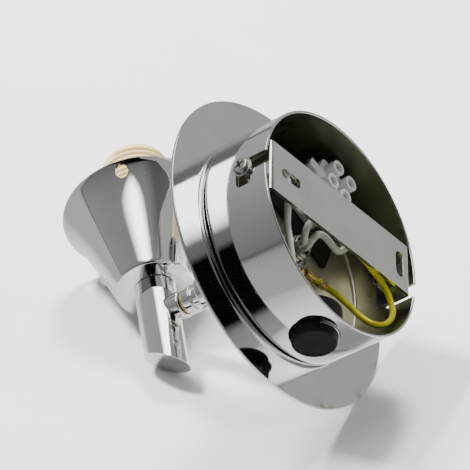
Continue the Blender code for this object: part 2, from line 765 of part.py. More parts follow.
def makeHead(armPivot, headFront, bossBack):
    """The turning half of the swivel, the post, the cup and the lampholder. Heights run along the leaning axis."""
    headPivot = addPivot(
        "head_axis", armPivot, location=(0, -ARM_UP, HEAD_DEPTH), rotation=(HEAD_LEAN - 90, 0, 0)
    )
    postCutter = addCylinder("cut_boss_end", POST_RADIUS + GAP, -20, 20, headPivot, sides=64)
    studProfile = [
        (STUD_BORE, HEAD_DEPTH),
        (STUD_RADIUS, HEAD_DEPTH),
        (STUD_RADIUS, headFront - GAP),
        (STUD_HEAD_RADIUS, headFront - GAP),
        (STUD_HEAD_RADIUS, headFront - GAP - STUD_HEAD_HEIGHT),
        (STUD_BORE, headFront - GAP - STUD_HEAD_HEIGHT),
    ]
    stud = addTurned("swivel_stud", studProfile, armPivot, NICKEL, ring=True, steps=24)
    cut(stud, postCutter)
    bossProfile = [(STUD_RADIUS + GAP, HEAD_DEPTH), (COLLAR_RADIUS, HEAD_DEPTH)]
    bossProfile += arc(COLLAR_RADIUS - 0.8, bossBack + 0.8, 0.8, 0, -80, 4)
    bossProfile += [(COLLAR_RADIUS - 0.9, bossBack), (STUD_RADIUS + GAP, bossBack)]
    boss = addTurned("arm_boss", bossProfile, armPivot, CHROME, ring=True, steps=28)
    cut(boss, postCutter)

    postProfile = [
        (POST_BORE, POST_TOP),
        (POST_RADIUS, POST_TOP),
        (POST_RADIUS, POST_FOOT - POST_RADIUS),
        (0, POST_FOOT - POST_RADIUS),
        (0, POST_BORE_FLOOR),
        (POST_BORE, POST_BORE_FLOOR),
    ]
    post = addTurned("post", postProfile, headPivot, CHROME, ring=True, steps=40)
    slant = addBox(
        "cut_post_foot", (-20, -20, -30), (20, 20, 0), headPivot,
        location=(0, 0, POST_FOOT), rotation=(-POST_CUT, 0, 0),
    )
    cut(post, slant)

    bellBottom = POST_TOP + GAP
    profile = bellProfile(bellBottom)
    bell = addTurned("bell_cup", profile, headPivot, CHROME, ring=True, steps=BELL_STEPS)
    for i in range(RIM_HOLES):
        turn = RIM_HOLE_AZIMUTH + 360 / RIM_HOLES * i
        hole = addCylinder(
            f"cut_rim_hole_{i}", RIM_HOLE_RADIUS, BELL_RIM_RADIUS - 8, BELL_RIM_RADIUS + 4, headPivot, sides=24,
            location=(0, 0, bellBottom + BELL_HEIGHT - RIM_HOLE_BELOW), rotation=(0, 90, turn),
        )
        cut(bell, hole)
    makeLampholder(headPivot, bellBottom + BELL_BOTTOM_WALL)


def bellRadius(share):
    """Outer radius of the cup at a share of its height."""
    grow = BELL_RIM_RADIUS - BELL_BOTTOM_RADIUS - BELL_FLARE
    return BELL_BOTTOM_RADIUS + grow * share + BELL_FLARE * share**BELL_FLARE_POWER


def bellProfile(bottom):
    shares = [i / 6 for i in range(6)] + [0.92, 0.965, 1.0]
    outer = [(bellRadius(share), bottom + BELL_HEIGHT * share) for share in reversed(shares)]
    slope = 1.05  # the wall is a little thicker along the radius than square to the slanted side
    inner = [
        (bellRadius(share) - BELL_WALL * slope, bottom + BELL_HEIGHT * share) for share in shares[1:]
    ]
    hole = NIPPLE_RADIUS + GAP
    floorTop = bottom + BELL_BOTTOM_WALL
    floorRadius = bellRadius(BELL_BOTTOM_WALL / BELL_HEIGHT) - BELL_WALL * slope
    return outer + [(hole, bottom), (hole, floorTop), (floorRadius, floorTop)] + inner


def makeLampholder(parent, floorTop):
    """Threaded tube through the cup's bottom, its nut, and the lampholder with its screw shell and contact."""
    nutBottom = floorTop + GAP
    nutTop = nutBottom + HOLDER_NUT_HEIGHT
    holderBottom = nutTop + GAP
    addTube(
        "bell_nipple", NIPPLE_BORE, NIPPLE_RADIUS, POST_BORE_FLOOR + GAP, nutTop, parent, NICKEL,
        edge=0.5, steps=24,
    )
    addNut(
        "holder_nut", HOLDER_NUT_ACROSS, HOLDER_NUT_HEIGHT, NIPPLE_RADIUS + GAP, parent, NICKEL,
        location=(0, 0, nutBottom),
    )
    threadBottom = HOLDER_TOP - HOLDER_THREAD
    bodyProfile = [
        (HOLDER_BORE, HOLDER_TOP),
        (HOLDER_RADIUS - 0.8, HOLDER_TOP),
        (HOLDER_RADIUS, HOLDER_TOP - 0.8),
        (HOLDER_RADIUS, threadBottom + 0.5),
        (HOLDER_RADIUS - 0.5, threadBottom),
        (HOLDER_BASE_RADIUS, threadBottom),
        (HOLDER_BASE_RADIUS, holderBottom + 1.0),
        (HOLDER_BASE_RADIUS - 1.0, holderBottom),
        (NIPPLE_BORE, holderBottom),
        (NIPPLE_BORE, HOLDER_BORE_FLOOR),
        (HOLDER_BORE, HOLDER_BORE_FLOOR),
    ]
    addTurned("lampholder_body", bodyProfile, parent, CREAM, ring=True, steps=36)
    addTube(
        "lampholder_shell", SHELL_RADIUS - SHELL_WALL, SHELL_RADIUS, SHELL_BOTTOM, SHELL_TOP, parent, BRASS,
        steps=40,
    )
    contactProfile = [
        (0, HOLDER_BORE_FLOOR + 4.0),
        (CONTACT_RADIUS - 1.2, HOLDER_BORE_FLOOR + 3.6),
        (CONTACT_RADIUS, HOLDER_BORE_FLOOR + 1.2),
        (CONTACT_RADIUS, HOLDER_BORE_FLOOR + GAP),
        (0, HOLDER_BORE_FLOOR + GAP),
    ]
    addTurned("lampholder_contact", contactProfile, parent, BRASS, steps=20)


clearScene()
partsCollection = newCollection("wall_light")
cuttersCollection = newCollection("cutters")
cuttersCollection.hide_render = True

bracketPivot = addPivot("bracket_frame", None, rotation=(90, 0, 0))
coverPivot = addPivot("cover_pivot", None, rotation=(90, 0, 0))
makeStrap(bracketPivot)
makeCoverScrew(1, "right", bracketPivot)
makeCoverScrew(-1, "left", bracketPivot)
makeDrum(coverPivot)
discFrontFace = makeDisc(coverPivot)
switchTopFace = makeSwitch(coverPivot)
makeBlock(coverPivot)
makeEarth(coverPivot)
makeWires(coverPivot, switchTopFace)
swivelSeat, bossBackFace = makeArm(coverPivot, discFrontFace)
armPivot = addPivot("arm_pivot", coverPivot, location=(0, ARM_UP, 0))
makeHead(armPivot, swivelSeat, bossBackFace)
bpy.context.view_layer.update()
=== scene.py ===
import json
import math

import bmesh
import bpy
from mathutils import Matrix, Vector

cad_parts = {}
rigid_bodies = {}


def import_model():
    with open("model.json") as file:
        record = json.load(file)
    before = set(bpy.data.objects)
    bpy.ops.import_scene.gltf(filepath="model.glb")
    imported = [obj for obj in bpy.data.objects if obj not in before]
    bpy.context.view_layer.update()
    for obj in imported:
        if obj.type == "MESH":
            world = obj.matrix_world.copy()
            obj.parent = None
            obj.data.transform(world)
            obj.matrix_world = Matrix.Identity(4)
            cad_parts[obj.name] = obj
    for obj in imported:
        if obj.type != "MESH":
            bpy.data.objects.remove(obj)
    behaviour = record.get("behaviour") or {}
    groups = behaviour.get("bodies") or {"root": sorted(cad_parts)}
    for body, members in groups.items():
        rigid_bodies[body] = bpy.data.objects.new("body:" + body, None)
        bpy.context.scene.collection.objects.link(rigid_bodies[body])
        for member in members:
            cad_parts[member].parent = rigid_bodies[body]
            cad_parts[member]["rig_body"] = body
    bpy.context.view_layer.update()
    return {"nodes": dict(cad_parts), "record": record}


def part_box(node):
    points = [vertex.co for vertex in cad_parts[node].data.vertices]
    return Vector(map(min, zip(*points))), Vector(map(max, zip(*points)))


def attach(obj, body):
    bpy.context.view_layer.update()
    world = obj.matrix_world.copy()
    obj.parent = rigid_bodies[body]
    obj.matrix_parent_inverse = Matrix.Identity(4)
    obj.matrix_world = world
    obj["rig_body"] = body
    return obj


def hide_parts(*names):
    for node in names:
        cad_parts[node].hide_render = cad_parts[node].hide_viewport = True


for leftover in list(bpy.data.objects):
    bpy.data.objects.remove(leftover, do_unlink=True)
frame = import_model()

mm = 0.001  # sizes below are in millimetres
mounts = {row["name"]: row for row in frame["record"]["mounts"]}


def boxOf(node):
    low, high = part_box(node)
    return low / mm, high / mm


def depthsOf(node):  # nearest and furthest distance from the wall
    low, high = boxOf(node)
    return -high.y, -low.y


# Local z is the distance from the wall, local y is up
wallPlace = Matrix.Rotation(math.radians(90), 4, "X")
armUp = sum(corner.z for corner in boxOf("arm_sleeve")) / 2
armPlace = Matrix.Translation((0, 0, armUp)) @ wallPlace

# The head's own axis runs up through the lampholder; its top is the shade's seat
seat = mounts["shade_seat"]
headAxis = Vector(seat["axis"]).normalized()
headTop = 82.6
headOrigin = Vector((0, *seat["pos_m"][1:])) / mm - headAxis * headTop
headTurn = Vector((0, 0, 1)).rotation_difference(headAxis).to_matrix().to_4x4()
headPlace = Matrix.Translation(headOrigin) @ headTurn


def settle(piece, sharp=35):  # modifiers become part of the mesh
    graph = bpy.context.evaluated_depsgraph_get()
    mesh = bpy.data.meshes.new_from_object(piece.evaluated_get(graph))
    piece.modifiers.clear()
    piece.data = mesh
    mesh.shade_smooth()
    mesh.set_sharp_from_angle(angle=math.radians(sharp))
    return piece


def pieceFrom(name, shape, place, material=None, sharp=35):
    bmesh.ops.transform(shape, matrix=Matrix.Scale(mm, 4) @ place, verts=shape.verts)
    bmesh.ops.recalc_face_normals(shape, faces=shape.faces)
    mesh = bpy.data.meshes.new(name)
    shape.to_mesh(mesh)
    shape.free()
    mesh.shade_smooth()
    mesh.set_sharp_from_angle(angle=math.radians(sharp))
    piece = bpy.data.objects.new(name, mesh)
    bpy.context.scene.collection.objects.link(piece)
    if material:
        mesh.materials.append(material)
    return piece


def rounded(corners, steps=5):  # (radius, height, fillet) corners of a closed outline
    outline = []
    for index, (radius, height, fillet) in enumerate(corners):
        here = Vector((radius, height))
        if not fillet:
            outline.append(tuple(here))
            continue
        behind = (Vector(corners[index - 1][:2]) - here).normalized()
        ahead = (Vector(corners[(index + 1) % len(corners)][:2]) - here).normalized()
        half = behind.angle(ahead) / 2
        reach = fillet / math.tan(half)
        middle = here + (behind + ahead).normalized() * fillet / math.sin(half)
        first = here + behind * reach - middle
        last = here + ahead * reach - middle
        turn = math.atan2(first.x * last.y - first.y * last.x, first.dot(last))
        support = 0.15 * fillet  # keeps the flat beside the fillet flat when shaded
        outline.append(tuple(here + behind * (reach + support)))
        for step in range(steps + 1):
            angle = turn * step / steps
            x = first.x * math.cos(angle) - first.y * math.sin(angle)
            y = first.x * math.sin(angle) + first.y * math.cos(angle)
            outline.append((middle.x + x, middle.y + y))
        outline.append(tuple(here + ahead * (reach + support)))
    return outline


def turnedShape(outline, steps):
    shape = bmesh.new()
    rings = []
    for radius, height in outline:
        if radius < 1e-6:
            rings.append([shape.verts.new((0, 0, height))])
            continue
        angles = [2 * math.pi * step / steps for step in range(steps)]
        rings.append([shape.verts.new((radius * math.cos(a), radius * math.sin(a), height)) for a in angles])
    for index, ring in enumerate(rings):
        before = rings[index - 1]
        if len(before) == 1 and len(ring) == 1:
            continue
        for step in range(steps):
            ahead = (step + 1) % steps
            around = [before[step % len(before)], before[ahead % len(before)]]
            around += [ring[ahead % len(ring)], ring[step % len(ring)]]
            shape.faces.new(list(dict.fromkeys(around)))
    return shape


def turned(name, outline, place, material=None, steps=128):
    return pieceFrom(name, turnedShape(outline, steps), place, material)


def bar(name, low, high, place, material=None, bevel=0.0, edges="all"):
    shape = bmesh.new()
    bmesh.ops.create_cube(shape, size=1)
    low, high = Vector(low), Vector(high)
    bmesh.ops.scale(shape, vec=high - low, verts=shape.verts)
    bmesh.ops.translate(shape, vec=(low + high) / 2, verts=shape.verts)
    if bevel:
        chosen = shape.edges[:]
        if edges != "all":
            axis = "xyz".index(edges)
            chosen = [e for e in chosen if abs((e.verts[0].co - e.verts[1].co).normalized()[axis]) > 0.9]
        bmesh.ops.bevel(shape, geom=chosen, offset=bevel, segments=8, profile=0.5, affect="EDGES")
    return pieceFrom(name, shape, place, material)


def carve(piece, *tools, operation="DIFFERENCE"):
    for tool in tools:
        modifier = piece.modifiers.new("Carve", "BOOLEAN")
        modifier.object = tool
        modifier.operation = operation
    settle(piece)
    for tool in tools:
        bpy.data.objects.remove(tool, do_unlink=True)
    return piece


def softenEdges(piece, width, segments=3, flatFrom=12.0):
    modifier = piece.modifiers.new("Edges", "BEVEL")
    modifier.width = width * mm
    modifier.segments = segments
    modifier.limit_method = "ANGLE"
    modifier.angle_limit = math.radians(40)
    settle(piece, sharp=50)
    for face in piece.data.polygons:  # wide faces stay flat, only the softened edges shade round
        face.use_smooth = face.area < flatFrom * mm * mm
    return piece


def refinedCopy(name, node, material, width):  # the node's own shape with its edges softened
    shape = bmesh.new()
    shape.from_mesh(frame["nodes"][node].data)
    bmesh.ops.remove_doubles(shape, verts=shape.verts, dist=1e-6)
    bmesh.ops.dissolve_limit(shape, angle_limit=math.radians(1), verts=shape.verts, edges=shape.edges)
    piece = pieceFrom(name, shape, Matrix.Scale(1 / mm, 4), material)
    return softenEdges(piece, width)


def join(name, *pieces):
    shape = bmesh.new()
    materials = []
    for piece in pieces:
        offset = len(materials)
        before = len(shape.faces)
        shape.from_mesh(piece.data)
        shape.faces.ensure_lookup_table()
        for face in shape.faces[before:]:
            face.material_index += offset
        materials += list(piece.data.materials)
    mesh = bpy.data.meshes.new(name)
    shape.to_mesh(mesh)
    shape.free()
    for material in materials:
        mesh.materials.append(material)
    for piece in pieces:
        bpy.data.objects.remove(piece, do_unlink=True)
    joined = bpy.data.objects.new(name, mesh)
    bpy.context.scene.collection.objects.link(joined)
    return joined


def dressInside(piece, place, low, high, radiusAt, material):  # faces in a hollow take another material; the callers use it for painted shade on the walls and painted light on the floor
    piece.data.materials.append(material)
    slot = len(piece.data.materials) - 1
    back = (Matrix.Scale(mm, 4) @ place).inverted()
    for face in piece.data.polygons:
        centre = back @ face.center
        if low < centre.z < high and math.hypot(centre.x, centre.y) < radiusAt(centre.z):
            face.material_index = slot


def standIn(piece, *nodes):  # rides where its nodes ride, and hides them
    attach(piece, frame["nodes"][nodes[0]]["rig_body"])
    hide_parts(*nodes)


shot = {
    "place": (0.84127, 0.63562, -0.82828),
    "right": (-0.6301, 0.7765, 0.0046),
    "up": (0.4800, 0.3848, 0.7883),
    "lens": 272.5,
    "tableNormal": (0.686, 0.604, 0.406),
    "tableOffset": -0.0692,
    "tableRadius": 6.0,
    "sheetCentre": (-0.06, -0.036, -0.012),
    "sheetEdge": (0.07, 0.17),
}


def makeCamera():
    camera = bpy.data.cameras.new("camera")
    camera.lens = shot["lens"]
    camera.clip_start = 0.05
    camera.clip_end = 50
    holder = bpy.data.objects.new("camera", camera)
    bpy.context.scene.collection.objects.link(holder)
    right = Vector(shot["right"]).normalized()
    back = right.cross(Vector(shot["up"])).normalized()
    up = back.cross(right)
    turn = Matrix((right, up, back)).transposed().to_4x4()
    holder.matrix_world = Matrix.Translation(shot["place"]) @ turn
    bpy.context.scene.camera = holder


def tableAxes():  # normal, and the two directions that run right and away in the picture
    normal = Vector(shot["tableNormal"]).normalized()
    away = normal.cross(Vector(shot["right"])).normalized()
    across = away.cross(normal)
    return normal, across, away


def makeTable(material):
    normal, across, away = tableAxes()
    shape = bmesh.new()
    bmesh.ops.create_circle(shape, cap_ends=True, segments=96, radius=shot["tableRadius"])
    turn = Matrix((across, away, normal)).transposed().to_4x4()
    place = Matrix.Translation(normal * shot["tableOffset"]) @ turn
    bmesh.ops.transform(shape, matrix=place, verts=shape.verts)
    mesh = bpy.data.meshes.new("table")
    shape.to_mesh(mesh)
    shape.free()
    mesh.materials.append(material)
    table = bpy.data.objects.new("table", mesh)
    bpy.context.scene.collection.objects.link(table)
    if mesh.polygons[0].normal.dot(normal) < 0:
        mesh.flip_normals()


lights = {
    # name: (right, away, height) in metres over the table, size, power
    "keyLight": ((-1.0, 0.5, 1.4), 0.4, 70.0),
    "overhead": ((0.05, 1.2, 1.15), 0.35, 48.0),
    "fillLight": ((0.9, -0.5, 0.9), 0.5, 6.0),
}


def makeLights():
    normal, across, away = tableAxes()
    for name, (spot, size, power) in lights.items():
        light = bpy.data.lights.new(name, "AREA")
        light.shape = "RECTANGLE"
        light.size = size
        light.size_y = size * 0.8
        light.energy = power
        holder = bpy.data.objects.new(name, light)
        bpy.context.scene.collection.objects.link(holder)
        place = across * spot[0] + away * spot[1] + normal * spot[2]
        holder.location = place
        holder.rotation_mode = "QUATERNION"
        holder.rotation_quaternion = place.to_track_quat("Z", "Y")
        holder.visible_glossy = False  # the metal mirrors the studio's own strip


def addNode(tree, kind, inputs=None, **settings):
    node = tree.nodes.new(kind)
    for name, value in settings.items():
        setattr(node, name, value)
    for name, value in (inputs or {}).items():
        if isinstance(value, bpy.types.NodeSocket):
            tree.links.new(value, node.inputs[name])
        else:
            node.inputs[name].default_value = value
    return node


def mathOf(tree, operation, first, second=0.0, third=None):
    inputs = {0: first, 1: second}
    if third is not None:
        inputs[2] = third
    return addNode(tree, "ShaderNodeMath", inputs, operation=operation).outputs[0]


def spread(tree, source, low, high, toLow, toHigh):  # maps low..high to toLow..toHigh, clamped
    inputs = {"Value": source, "From Min": low, "From Max": high, "To Min": toLow, "To Max": toHigh}
    return addNode(tree, "ShaderNodeMapRange", inputs).outputs["Result"]


def grainOf(tree, scale, stretch=(1, 1, 1), detail=4.0, roughness=0.55):
    place = addNode(tree, "ShaderNodeTexCoord").outputs["Object"]
    mapped = addNode(tree, "ShaderNodeMapping", {"Vector": place, "Scale": stretch}).outputs["Vector"]
    inputs = {"Vector": mapped, "Scale": scale, "Detail": detail, "Roughness": roughness}
    return addNode(tree, "ShaderNodeTexNoise", inputs).outputs[0]


def specksOf(tree, scale, size):  # 1 inside small dots, 0 elsewhere
    place = addNode(tree, "ShaderNodeTexCoord").outputs["Object"]
    dots = addNode(tree, "ShaderNodeTexVoronoi", {"Vector": place, "Scale": scale})
    near = spread(tree, dots.outputs["Distance"], size * 0.6, size, 1, 0)
    picked = addNode(tree, "ShaderNodeSeparateColor", {0: dots.outputs["Color"]}).outputs[0]
    return mathOf(tree, "MULTIPLY", near, spread(tree, picked, 0.80, 0.82, 0, 1))


def blended(tree, share, first, second):
    mix = addNode(tree, "ShaderNodeMix", data_type="RGBA")
    for socket, value in ((mix.inputs[0], share), (mix.inputs[6], first), (mix.inputs[7], second)):
        if isinstance(value, bpy.types.NodeSocket):
            tree.links.new(value, socket)
        elif socket is mix.inputs[0]:
            socket.default_value = value
        else:
            socket.default_value = (*value, 1.0)
    return mix.outputs[2]


def bumped(tree, height, strength, distance, under=None):
    inputs = {"Height": height, "Strength": strength, "Distance": distance * mm}
    if under:
        inputs["Normal"] = under
    return addNode(tree, "ShaderNodeBump", inputs).outputs["Normal"]


def newFinish(name, **values):
    material = bpy.data.materials.new(name)
    material.use_nodes = True
    tree = material.node_tree
    shader = tree.nodes["Principled BSDF"]
    for label, value in values.items():
        shader.inputs[label.replace("_", " ")].default_value = value
    return material, tree, shader


def plug(tree, shader, **sources):
    for label, source in sources.items():
        tree.links.new(source, shader.inputs[label.replace("_", " ")])


def chromeFinish(name="brightChrome", stained=False):
    material, tree, shader = newFinish(name, Metallic=1.0, IOR=2.5)
    haze = grainOf(tree, 55, detail=5)
    smudge = spread(tree, haze, 0.48, 0.72, 0, 1)
    hairlines = spread(tree, grainOf(tree, 900, (1, 1, 0.03), detail=2), 0.66, 0.72, 0, 1)
    crossLines = spread(tree, grainOf(tree, 700, (0.04, 1, 1), detail=2), 0.68, 0.74, 0, 1)
    lines = mathOf(tree, "MAXIMUM", hairlines, crossLines)
    dust = specksOf(tree, 420, 0.12)
    tone = blended(tree, smudge, (0.78, 0.785, 0.78), (0.73, 0.735, 0.73))
    if stained:
        place = addNode(tree, "ShaderNodeTexCoord").outputs["Object"]
        apart = addNode(tree, "ShaderNodeSeparateXYZ", {0: place}).outputs
        across = mathOf(tree, "MULTIPLY", apart[0], apart[0])
        up = mathOf(tree, "MULTIPLY_ADD", apart[2], apart[2], across)
        radius = mathOf(tree, "SQRT", up)
        nearRim = spread(tree, radius, 0.0590, 0.0635, 0, 0.8)
        patches = spread(tree, grainOf(tree, 75, detail=6), 0.60, 0.72, 0, 1)
        stain = mathOf(tree, "MULTIPLY", nearRim, patches)
        tone = blended(tree, stain, tone, (0.46, 0.36, 0.20))
    rough = mathOf(tree, "MULTIPLY_ADD", smudge, 0.06, 0.045)
    rough = mathOf(tree, "MULTIPLY_ADD", lines, 0.10, rough)
    rough = mathOf(tree, "MULTIPLY_ADD", dust, 0.40, rough)
    waves = bumped(tree, grainOf(tree, 38, detail=1), 0.25, 0.05)
    marks = bumped(tree, lines, 0.10, 0.01, waves)
    plug(tree, shader, Base_Color=tone, Roughness=rough, Normal=marks)
    return material


def nickelFinish(name, tone, low, high, stretch=(0.06, 1, 1), fade=0.86):
    material, tree, shader = newFinish(name, Metallic=1.0, IOR=2.2)
    brushed = grainOf(tree, 1400, stretch, detail=3)
    cloudy = grainOf(tree, 70, detail=5)
    darker = tuple(channel * fade for channel in tone)
    colour = blended(tree, spread(tree, cloudy, 0.40, 0.68, 0, 1), tone, darker)
    rough = spread(tree, cloudy, 0.35, 0.70, low, high)
    rough = mathOf(tree, "MULTIPLY_ADD", specksOf(tree, 500, 0.14), 0.3, rough)
    normal = bumped(tree, brushed, 0.12, 0.02)
    plug(tree, shader, Base_Color=colour, Roughness=rough, Normal=normal)
    return material


def plasticFinish(name, tone, shade, rough, grain, bump, **values):
    material, tree, shader = newFinish(name, **values)
    cloudy = grainOf(tree, 90, detail=5)
    fine = grainOf(tree, grain, detail=3)
    colour = blended(tree, spread(tree, cloudy, 0.38, 0.70, 0, 1), tone, shade)
    dust = specksOf(tree, 600, 0.13)
    colour = blended(tree, dust, colour, tuple(min(1.0, channel + 0.12) for channel in tone))
    roughness = spread(tree, cloudy, 0.30, 0.75, rough, rough + 0.14)
    plug(tree, shader, Base_Color=colour, Roughness=roughness, Normal=bumped(tree, fine, bump, 0.05))
    return material


def earthFinish():
    material, tree, shader = newFinish("earthInsulation", IOR=1.5)
    around = addNode(tree, "ShaderNodeUVMap", uv_map="along").outputs["UV"]
    turn = addNode(tree, "ShaderNodeSeparateXYZ", {0: around}).outputs[0]
    off = mathOf(tree, "ABSOLUTE", mathOf(tree, "SUBTRACT", turn, 0.5))
    stripe = spread(tree, off, 0.11, 0.13, 1, 0)
    dirty = spread(tree, grainOf(tree, 260, detail=5), 0.45, 0.75, 0, 1)
    yellow = blended(tree, dirty, (0.80, 0.74, 0.015), (0.62, 0.57, 0.02))
    colour = blended(tree, stripe, yellow, (0.10, 0.34, 0.06))
    rough = spread(tree, dirty, 0, 1, 0.34, 0.5)
    normal = bumped(tree, grainOf(tree, 1500), 0.1, 0.03)
    plug(tree, shader, Base_Color=colour, Roughness=rough, Normal=normal)
    return material


def tableFinish():
    material, tree, shader = newFinish("whiteTable", Roughness=0.55)
    cloudy = grainOf(tree, 9, detail=5)
    colour = blended(tree, spread(tree, cloudy, 0.35, 0.65, 0, 1), (0.86, 0.86, 0.845), (0.83, 0.83, 0.815))
    # the metal mirrors a dark bench beyond the white sheet
    place = addNode(tree, "ShaderNodeTexCoord").outputs["Object"]
    off = addNode(
        tree, "ShaderNodeVectorMath", {0: place, 1: shot["sheetCentre"]}, operation="DISTANCE",
    ).outputs["Value"]
    mirrored = addNode(tree, "ShaderNodeLightPath").outputs["Is Glossy Ray"]
    bench = mathOf(tree, "MULTIPLY", spread(tree, off, *shot["sheetEdge"], 0.12, 1), mirrored)
    plug(tree, shader, Base_Color=blended(tree, bench, colour, (0.15, 0.15, 0.146)))
    # seen from below, the table isn't there
    clear = addNode(tree, "ShaderNodeBsdfTransparent").outputs[0]
    under = addNode(tree, "ShaderNodeNewGeometry").outputs["Backfacing"]
    mixed = addNode(tree, "ShaderNodeMixShader", {0: under, 1: shader.outputs[0], 2: clear}).outputs[0]
    tree.links.new(mixed, tree.nodes["Material Output"].inputs["Surface"])
    return material


studio = {
    "pale": (0.80, 0.80, 0.785),
    "near": 0.19, "far": 0.46,  # grey of the walls, from the camera's side to the far side
    "rightShade": 0.45, "rightFrom": (0.05, 0.30), "shadeHeight": (0.4, 0.6),
    # the strip overhead: brightness, the way it runs, its middle line, half width with its fade, and ends
    "strip": 5.0, "stripRun": (0.56, 0.83), "stripLine": -0.23, "stripHalf": (0.15, 0.31),
    "stripEnds": (-0.45, 0.60), "stripHeight": (0.3, 0.5),
    # the dark side behind the camera: brightness, where it starts, its middle and half width
    "dark": 0.015, "darkFrom": -0.56, "darkMiddle": 0.05, "darkHalf": (0.30, 0.42),
    "below": 0.14,
    "softShare": 0.5,  # how much of it lights the dull surfaces; the lamps give the rest
}


def makeStudio():  # what the bright metal mirrors: grey walls, one bright strip overhead, a dark camera side
    world = bpy.data.worlds.new("studio")
    bpy.context.scene.world = world
    world.use_nodes = True
    tree = world.node_tree
    looking = addNode(tree, "ShaderNodeTexCoord").outputs["Generated"]

    def along(axis):
        dot = addNode(tree, "ShaderNodeVectorMath", {0: looking, 1: axis}, operation="DOT_PRODUCT")
        return dot.outputs["Value"]

    def apart(value, middle):
        return mathOf(tree, "ABSOLUTE", mathOf(tree, "SUBTRACT", value, middle))

    height, right, far = (along(axis) for axis in tableAxes())
    level = spread(tree, far, -0.6, 0.6, studio["near"], studio["far"])
    toRight = spread(tree, right, *studio["rightFrom"], 0, 1)
    shaded = mathOf(tree, "MULTIPLY", toRight, spread(tree, height, *studio["shadeHeight"], 0, 1))
    level = mathOf(tree, "MULTIPLY", level, spread(tree, shaded, 0, 1, 1, studio["rightShade"]))
    side, slant = studio["stripRun"]
    offLine = mathOf(tree, "MULTIPLY_ADD", far, -side, mathOf(tree, "MULTIPLY", right, slant))
    onLine = mathOf(tree, "MULTIPLY_ADD", far, slant, mathOf(tree, "MULTIPLY", right, side))
    strip = spread(tree, apart(offLine, studio["stripLine"]), *studio["stripHalf"], studio["strip"], 0)
    first, last = studio["stripEnds"]
    strip = mathOf(tree, "MULTIPLY", strip, spread(tree, onLine, first - 0.06, first + 0.06, 0, 1))
    strip = mathOf(tree, "MULTIPLY", strip, spread(tree, onLine, last - 0.03, last + 0.03, 1, 0))
    strip = mathOf(tree, "MULTIPLY", strip, spread(tree, height, *studio["stripHeight"], 0, 1))
    level = mathOf(tree, "ADD", level, strip)
    dark = spread(tree, far, studio["darkFrom"] - 0.08, studio["darkFrom"], 1, 0)
    sideways = spread(tree, apart(right, studio["darkMiddle"]), *studio["darkHalf"], 1, 0)
    dark = mathOf(tree, "MULTIPLY", dark, sideways)
    level = mathOf(tree, "MULTIPLY", level, spread(tree, dark, 0, 1, 1, studio["dark"]))
    under = spread(tree, height, -0.02, 0.02, 1, 0)
    level = addNode(tree, "ShaderNodeMix", {0: under, 2: level, 3: studio["below"]}).outputs[0]
    grey = addNode(tree, "ShaderNodeCombineColor", {0: level, 1: level, 2: level}).outputs[0]
    paths = addNode(tree, "ShaderNodeLightPath").outputs
    room = tree.nodes["Background"]
    tree.links.new(grey, room.inputs["Color"])
    strength = spread(tree, paths["Is Glossy Ray"], 0, 1, studio["softShare"], 1)
    tree.links.new(strength, room.inputs["Strength"])
    backdrop = addNode(tree, "ShaderNodeBackground", {"Color": (*studio["pale"], 1.0)}).outputs[0]
    shaders = {0: paths["Is Camera Ray"], 1: room.outputs[0], 2: backdrop}
    mixed = addNode(tree, "ShaderNodeMixShader", shaders).outputs[0]
    tree.links.new(mixed, tree.nodes["World Output"].inputs["Surface"])


makeCamera()
makeTable(tableFinish())
makeLights()
makeStudio()
print("camera, table and studio ready")

chrome = chromeFinish()
chromeDisc = chromeFinish("brightChromeDisc", stained=True)
nickel = nickelFinish("satinNickel", (0.82, 0.815, 0.775), 0.13, 0.24, fade=0.95)
steel = nickelFinish("platedSteel", (0.62, 0.61, 0.58), 0.18, 0.36, (1, 0.2, 1))
brass = nickelFinish("turnedBrass", (0.72, 0.55, 0.25), 0.18, 0.34, (1, 0.1, 1))
# dull inside metal, its tone lowered as painted shade in the hollows of the drum and bell
insidePaintedShade = nickelFinish("dullInsidePaintedShade", (0.27, 0.265, 0.18), 0.24, 0.40, (1, 0.08, 1))
# the same inside metal painted much lighter for the drum's floor: painted light where the light falls in
insideFloorPaintedLight = nickelFinish("dullFloorPaintedLight", (0.86, 0.83, 0.70), 0.34, 0.50, (1, 0.08, 1))
black = plasticFinish(
    "blackPlastic", (0.010, 0.010, 0.009), (0.006, 0.006, 0.006), 0.46, 2600, 0.25,
    IOR=1.45, Specular_IOR_Level=0.12,
)
fibre = plasticFinish("blackSheet", (0.020, 0.020, 0.020), (0.012, 0.012, 0.012), 0.5, 1400, 0.3, IOR=1.5)
nylon = plasticFinish(
    "milkyNylon", (0.76, 0.79, 0.77), (0.66, 0.69, 0.67), 0.24, 900, 0.10,
    IOR=1.53, Subsurface_Weight=0.35, Subsurface_Scale=0.004, Subsurface_Radius=(1.0, 1.0, 0.95),
    Transmission_Weight=0.15,
)
cream = plasticFinish(
    "creamThermoset", (0.86, 0.71, 0.43), (0.80, 0.63, 0.36), 0.28, 1800, 0.12,
    IOR=1.5, Subsurface_Weight=0.12, Subsurface_Scale=0.002, Subsurface_Radius=(1.0, 0.7, 0.4),
)
silicone = plasticFinish(
    "whiteSleeving", (0.74, 0.74, 0.68), (0.62, 0.61, 0.54), 0.42, 1600, 0.2,
    IOR=1.45, Subsurface_Weight=0.15, Subsurface_Scale=0.002, Subsurface_Radius=(1.0, 1.0, 0.9),
)
earth = earthFinish()
print("finishes ready")


def newTree(name, inputs):
    tree = bpy.data.node_groups.new(name, "GeometryNodeTree")
    tree.interface.new_socket("Geometry", in_out="OUTPUT", socket_type="NodeSocketGeometry")
    for label, kind, value in inputs:
        socket = tree.interface.new_socket(label, in_out="INPUT", socket_type=kind)
        if value is not None:
            socket.default_value = value
    return tree, tree.nodes.new("NodeGroupInput").outputs, tree.nodes.new("NodeGroupOutput").inputs


